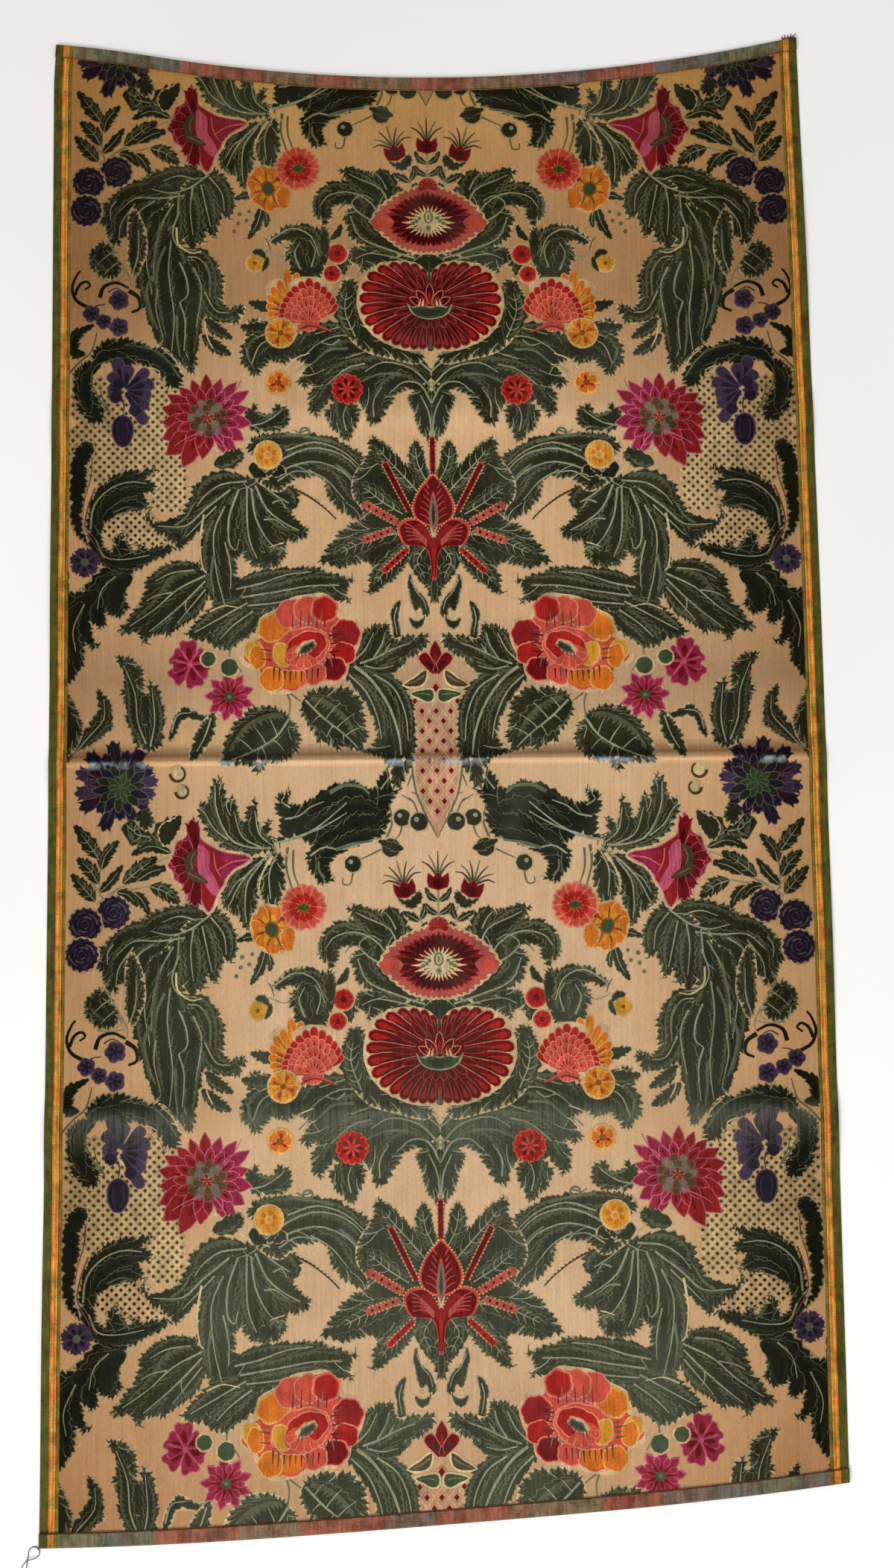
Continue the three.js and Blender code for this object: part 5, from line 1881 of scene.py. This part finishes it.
def ground_sheet():
    """The woven ground: one closed sheet, with its stripes and hems painted on it strip by strip."""
    stations = sheet_stations()
    face, back = sheet_layers(stations, *sheet_columns())
    stripe_names = column_tones(sheet_columns()[0])
    middle_x = (face[0][0, 1:] + face[0][0, :-1]) / 2
    f, b = np.arange(2 * face[0].size).reshape(2, *face[0].shape)
    faces, tones = [], []

    def quads(corners, turned, names):
        faces.append(np.stack(corners[::-1] if turned else corners, -1).reshape(-1, 4))
        tones.extend(linear(name) for name in names)

    rows = [stripe_names] * (len(stations) - 1)
    for layer, turned, names in ((f, False, rows), (b, True, back_tones(stations, middle_x, stripe_names))):
        corners = [layer[:-1, :-1], layer[:-1, 1:], layer[1:, 1:], layer[1:, :-1]]
        quads(corners, turned, [name for row in names for name in row])
    for column, turned in ((0, False), (-1, True)):
        corners = [b[:-1, column], f[:-1, column], f[1:, column], b[1:, column]]
        quads(corners, turned, ["olive"] * len(corners[0]))
    for station, turned in ((0, False), (-1, True)):
        corners = [f[station, :-1], b[station, :-1], b[station, 1:], f[station, 1:]]
        quads(corners, turned, ["brick"] * len(corners[0]))
    faces = np.vstack(faces)
    points = np.vstack([to_world(*(part.ravel() for part in layer)) for layer in (face, back)])
    flat = np.vstack([np.c_[layer[0].ravel(), layer[1].ravel()] for layer in (face, back)])[faces.ravel()]
    hidden = np.repeat((faces >= face[0].size).any(1), 4)
    plan = np.where(hidden[:, None], bake_place(flat, True), bake_place(flat, False))
    return mesh_object("velvet_ground", points, faces, np.array(tones), ground_material(), plan)


def column_tones(near):
    """The tone of each strip between two columns of the face."""
    side = []
    for inset in (np.array(near[1:]) + near[:-1]) / 2:
        side.append(tone_at([*STRIPES, (np.inf, "ground")], inset))
    return side + ["ground"] * MIDDLE_SPANS + side[::-1]


def over_stripe(name):
    """The tone that a stripe shows on the sheet's back, or None beside the stripes."""
    return None if name == "ground" else {"glow": "stripe"}.get(name, name)


# Materials
class Shade:
    """A material under construction, with short calls for its nodes."""

    def __init__(self, name):
        self.material = bpy.data.materials.new(name)
        self.material.use_nodes = True
        self.tree = self.material.node_tree
        self.surface = self.tree.nodes["Principled BSDF"]

    def node(self, kind, **inputs):
        made = self.tree.nodes.new(kind)
        for name, value in inputs.items():
            self.feed(made.inputs[name.replace("_", " ")], value)
        return made

    def feed(self, socket, value):
        if isinstance(value, bpy.types.NodeSocket):
            self.tree.links.new(value, socket)
        else:
            socket.default_value = value

    def coordinates(self, stretch):
        place = self.node("ShaderNodeTexCoord").outputs["Object"]
        return self.node("ShaderNodeMapping", Vector=place, Scale=stretch).outputs["Vector"]

    def noise(self, stretch, detail=2.0, roughness=0.5):
        """Noise from 0 to 1. Stretch is how many cells a metre holds along X, Y and Z."""
        made = self.node("ShaderNodeTexNoise", Vector=self.coordinates(stretch), Scale=1.0, Detail=detail, Roughness=roughness)
        return made.outputs["Fac"]

    def span(self, value, low, high, to_low, to_high):
        made = self.node("ShaderNodeMapRange", Value=value)
        for name, number in (("From Min", low), ("From Max", high), ("To Min", to_low), ("To Max", to_high)):
            made.inputs[name].default_value = number
        return made.outputs["Result"]

    def maths(self, operation, one, two):
        made = self.tree.nodes.new("ShaderNodeMath")
        made.operation = operation
        self.feed(made.inputs[0], one)
        self.feed(made.inputs[1], two)
        return made.outputs[0]

    def scaled(self, colour, factor):
        made = self.tree.nodes.new("ShaderNodeVectorMath")
        made.operation = "SCALE"
        self.feed(made.inputs[0], colour)
        self.feed(made.inputs["Scale"], factor)
        return made.outputs[0]

    def mixed(self, share, one, two):
        made = self.tree.nodes.new("ShaderNodeMix")
        made.data_type = "RGBA"
        sockets = [s for s in made.inputs if s.enabled]
        for socket, value in zip(sockets, (share, one, two)):
            self.feed(socket, value)
        return [s for s in made.outputs if s.enabled][0]

    def along(self, axis):
        """Place along X or Y in metres."""
        place = self.node("ShaderNodeTexCoord").outputs["Object"]
        return self.node("ShaderNodeSeparateXYZ", Vector=place).outputs[axis]

    def tone(self, output="Color"):
        """The woven colour, or with "Alpha" how far a place belongs to the patterned field."""
        made = self.tree.nodes.new("ShaderNodeAttribute")
        made.attribute_name = "tone"
        return made.outputs[output]

    def bump(self, height, strength, distance):
        return self.node("ShaderNodeBump", Height=height, Strength=strength, Distance=distance).outputs["Normal"]

    def product(self, *values):
        """Values multiplied together, from the first to the last."""
        result = values[0]
        for value in values[1:]:
            result = self.maths("MULTIPLY", result, value)
        return result

    def rest(self, share):
        """What a share leaves of one."""
        return self.maths("SUBTRACT", 1.0, share)

    def toned(self, colour, layers):
        """A colour multiplied by three factors at a time, as far as each layer's share says."""
        for share, factors in layers:
            made = self.tree.nodes.new("ShaderNodeVectorMath")
            made.operation = "MULTIPLY"
            self.feed(made.inputs[0], colour)
            made.inputs[1].default_value = factors
            colour = self.mixed(share, colour, made.outputs[0])
        return colour

    def finish(self, colour, roughness, normal, sheen=0.0, sheen_tint=(1, 1, 1, 1), specular=0.3):
        self.feed(self.surface.inputs["Base Color"], colour)
        self.feed(self.surface.inputs["Roughness"], roughness)
        self.feed(self.surface.inputs["Normal"], normal)
        self.surface.inputs["Sheen Weight"].default_value = sheen
        self.surface.inputs["Sheen Roughness"].default_value = 0.45
        self.surface.inputs["Sheen Tint"].default_value = sheen_tint
        self.surface.inputs["Specular IOR Level"].default_value = specular
        return self.material


def band(shade, place, above, below):
    """1 on a line across the cloth at a place along Y, falling to 0 at a distance above or below it."""
    y = shade.along("Y")
    middle = (place + SHIFT_Y) / 1000
    over = shade.span(y, middle, middle + above / 1000, 1.0, 0.0)
    under = shade.span(y, middle, middle - below / 1000, 1.0, 0.0)
    return shade.maths("MINIMUM", over, under)


def side_share(shade, start, end):
    """0 in the middle of the cloth, rising to 1 towards both side edges."""
    offset = shade.maths("SUBTRACT", shade.along("X"), SHIFT_X / 1000)
    return shade.span(shade.maths("ABSOLUTE", offset, 0.0), start / 1000, end / 1000, 0.0, 1.0)


def row_share(shade, start, end):
    """0 at one place along Y, rising to 1 at another."""
    return shade.span(shade.along("Y"), (start + SHIFT_Y) / 1000, (end + SHIFT_Y) / 1000, 0.0, 1.0)


def leafy_share(shade):
    """1 on green, grey and violet pile, and 0 on red and orange pile."""
    parts = shade.node("ShaderNodeSeparateColor", Color=shade.tone()).outputs
    return shade.span(shade.maths("SUBTRACT", parts["Red"], parts["Green"]), 0.02, 0.08, 1.0, 0.0)


def velvet_material(name):
    """Cut pile: short tufts in streaks. Painted sheen makes it paler in patches, over its lower part and along the
    lower fold, where the pile is also crushed; painted shade darkens it towards the sides, the top and just above the
    middle fold; a painted glint lights the middle fold's crest.
    """
    shade = Shade(name)
    tufts = shade.noise((1500, 900, 900), 2.0, 0.6)
    streaks = shade.noise((700, 28, 40), 3.0, 0.6)
    strokes = shade.noise((95, 60, 60), 3.0, 0.65)
    patches = shade.noise((22, 15, 15), 2.0, 0.55)
    light = shade.product(
        shade.span(tufts, 0.25, 0.75, 0.72, 1.28),
        shade.span(streaks, 0.3, 0.7, 0.82, 1.2),
        shade.span(strokes, 0.3, 0.7, 0.74, 1.3),
    )
    leafy = leafy_share(shade)
    # Red pile toned down, then painted shade towards both side edges and towards the top end
    colour = shade.toned(shade.scaled(shade.tone(), light), [
        (shade.rest(leafy), (0.74, 0.76, 0.74)),
        (side_share(shade, 160, 255), (0.52, 0.48, 0.42)),
        (row_share(shade, 250, 480), (0.72, 0.66, 0.5)),
    ])
    # Painted sheen: paler patches and a paler lower part, mixed in as a grey haze
    inner = shade.rest(side_share(shade, 150, 235))
    lower_sheen = shade.product(row_share(shade, -60, -220), shade.span(streaks, 0.3, 0.7, 0.1, 0.26), inner)
    # Painted sheen along the lower fold, where the pile is also crushed
    crushed_fold_sheen = shade.product(band(shade, -230, 9, 26), shade.span(streaks, 0.35, 0.7, 0.12, 0.62))
    sheen_patches = shade.product(inner, shade.span(patches, 0.46, 0.7, 0.0, 0.16))
    sheen_haze = shade.maths("ADD", shade.maths("ADD", lower_sheen, crushed_fold_sheen), sheen_patches)
    sheen_haze = shade.product(sheen_haze, shade.span(leafy, 0.0, 1.0, 0.2, 1.0))
    # Painted glint on the middle fold's crest
    glint = shade.product(band(shade, 15.5, 2.2, 4.5), shade.span(strokes, 0.42, 0.6, 0.0, 0.75))
    colour = shade.mixed(sheen_haze, colour, (0.12, 0.13, 0.09, 1))
    # Painted shadow just above the middle fold's crest
    colour = shade.toned(colour, [(band(shade, 20, 5, 3), (0.5, 0.45, 0.4))])
    colour = shade.mixed(glint, colour, (0.34, 0.4, 0.42, 1))
    bump = shade.bump(shade.maths("ADD", tufts, streaks), 0.5, 0.0004)
    return shade.finish(colour, 0.88, bump, 0.03, (0.95, 0.95, 0.78, 1), 0.04)


def ground_material():
    """Satin ribs along the cloth, with shadows at its sides and ends and light along its folds."""
    shade = Shade("satin_ground")
    weave = shade.noise((2200, 500, 600), 1.0, 0.5)
    streaks = shade.noise((520, 16, 20), 3.0, 0.6)
    patches = shade.noise((34, 20, 20), 3.0, 0.6)
    wide = shade.noise((7, 6, 5), 2.0, 0.5)
    light = shade.product(shade.span(weave, 0.25, 0.75, 0.88, 1.12), shade.span(streaks, 0.3, 0.7, 0.9, 1.1))
    plain = shade.scaled(shade.tone(), light)
    # Painted light and shade: darker towards the sides and both ends, a band of painted shade above the middle fold, a
    # painted reflection in the middle of the lower part, a painted shadow just above the middle fold's crest, a painted
    # highlight on its crest and a painted light band along the upper fold
    middle = shade.rest(side_share(shade, 90, 200))
    colour = shade.toned(shade.scaled(plain, shade.span(wide, 0.3, 0.7, 0.94, 1.1)), [
        (shade.span(patches, 0.35, 0.65, 0.0, 1.0), (0.92, 0.88, 0.82)),
        (side_share(shade, 120, 255), (0.7, 0.62, 0.52)),
        (row_share(shade, 285, 355), (0.64, 0.56, 0.46)),
        (row_share(shade, 385, 440), (1.18, 1.18, 1.12)),
        (row_share(shade, 450, 512), (1.0, 0.98, 0.68)),
        (row_share(shade, -380, -490), (0.78, 0.68, 0.58)),
        (band(shade, 75, 45, 40), (0.74, 0.76, 0.8)),
        (shade.product(middle, row_share(shade, 60, 0)), (0.98, 1.04, 1.14)),
        (band(shade, 21, 9, 4), (0.42, 0.34, 0.26)),
        (band(shade, 15, 2.0, 2.6), (1.45, 1.4, 1.35)),
        (band(shade, 262, 12, 16), (1.16, 1.2, 1.25)),
    ])
    colour = shade.mixed(shade.tone("Alpha"), edge_threads(shade, plain), colour)
    bump = shade.bump(shade.maths("ADD", weave, streaks), 0.3, 0.0002)
    return shade.finish(colour, 0.66, bump, 0.04, (1, 0.9, 0.75, 1), 0.14)


def edge_threads(shade, colour):
    """The selvedges and the turned hems: threads with dark grooves, in runs that lean to red or to olive."""
    threads = shade.noise((90, 1500, 900), 2.0, 0.6)
    ends = shade.noise((430, 45, 60), 3.0, 0.65)
    warm = shade.noise((150, 70, 90), 3.0, 0.65)
    cold = shade.noise((110, 90, 120), 3.0, 0.65)
    colour = shade.scaled(colour, shade.span(threads, 0.3, 0.7, 0.8, 1.15))
    colour = shade.scaled(colour, shade.span(ends, 0.3, 0.7, 0.66, 1.3))
    return shade.toned(colour, [
        (shade.span(warm, 0.48, 0.62, 0.0, 1.0), (0.95, 0.62, 0.5)),
        (shade.span(cold, 0.48, 0.62, 0.0, 1.0), (0.55, 0.68, 0.55)),
    ])


def thread_material(name, colour, second):
    shade = Shade(name)
    fibres = shade.noise((2600, 2600, 2600), 2.0, 0.6)
    tint = shade.mixed(shade.span(fibres, 0.35, 0.65, 0.0, 1.0), colour, second)
    return shade.finish(tint, 0.85, shade.bump(fibres, 0.5, 0.0002), 0.2)


def floor_material():
    shade = Shade("pale_floor")
    clouds = shade.noise((2.2, 2.0, 2.0), 2.0, 0.5)
    colour = shade.mixed(shade.span(clouds, 0.3, 0.7, 0.0, 1.0), (0.8, 0.8, 0.79, 1), (0.86, 0.86, 0.86, 1))
    return shade.finish(colour, 0.9, shade.bump(clouds, 0.1, 0.001), 0.0, (1, 1, 1, 1), 0.1)


def floor():
    mesh = bpy.data.meshes.new("floor")
    corners = [(x * FLOOR_REACH, y * FLOOR_REACH, 0) for x, y in ((-1, -1), (1, -1), (1, 1), (-1, 1))]
    mesh.from_pydata(corners, [], [(0, 1, 2, 3)])
    mesh.materials.append(floor_material())
    made = bpy.data.objects.new("floor", mesh)
    bpy.context.scene.collection.objects.link(made)


# Camera, as the photograph has it: above the cloth and a little below its middle
CAMERA_PLACE = (-10.56, -88.6, 1045.8)
CAMERA_TILT = (4.826, -0.936, -0.703)
FOCAL_PIXELS = 2000
FRAME_PIXELS = 2104
SENSOR = 36

# Light: the world's colour and strength, then each lamp's name, place, size, energy and colour
FLOOR_REACH = 3.0
WORLD_COLOUR = (1.0, 0.985, 0.96, 1)
WORLD_STRENGTH = 0.62
LAMPS = [
    ("front_lamp", (-1.3, -2.0, 1.7), (1.6, 1.0), 62, (1.0, 0.985, 0.96)),
    ("side_lamp", (1.9, -0.4, 1.7), (1.2, 1.2), 14, (0.94, 0.97, 1.0)),
]


def camera():
    data = bpy.data.cameras.new("camera")
    data.sensor_width = SENSOR
    data.lens = SENSOR * FOCAL_PIXELS / FRAME_PIXELS
    made = bpy.data.objects.new("camera", data)
    made.location = to_world(*CAMERA_PLACE)[0]
    made.rotation_euler = np.radians(CAMERA_TILT)
    bpy.context.scene.collection.objects.link(made)
    bpy.context.scene.camera = made


def lights():
    world = bpy.data.worlds.new("studio")
    bpy.context.scene.world = world
    world.use_nodes = True
    world.node_tree.nodes["Background"].inputs["Color"].default_value = WORLD_COLOUR
    world.node_tree.nodes["Background"].inputs["Strength"].default_value = WORLD_STRENGTH
    for name, place, size, energy, colour in LAMPS:
        data = bpy.data.lights.new(name, "AREA")
        data.shape = "RECTANGLE"
        data.size, data.size_y = size
        data.energy = energy
        data.color = colour
        lamp = bpy.data.objects.new(name, data)
        lamp.location = place
        lamp.rotation_euler = (-Vector(place)).to_track_quat("-Z", "Y").to_euler()
        bpy.context.scene.collection.objects.link(lamp)


def main():
    bpy.context.scene.view_settings.view_transform = "Standard"
    camera()
    lights()
    floor()
    half_repeat()
    ground = ground_sheet()
    piles = pile_pieces()
    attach(ground, "root")
    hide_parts("cloth")
    for pile in piles:
        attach(pile, "root")
    curl = thread_material("sewing_thread", (0.07, 0.06, 0.045, 1), (0.2, 0.17, 0.13, 1))
    frayed = thread_material("selvedge_thread", (0.03, 0.02, 0.008, 1), (0.09, 0.06, 0.02, 1))
    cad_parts["thread_curl"].material_slots[0].material = curl
    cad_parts["frayed_ends"].material_slots[0].material = frayed


main()
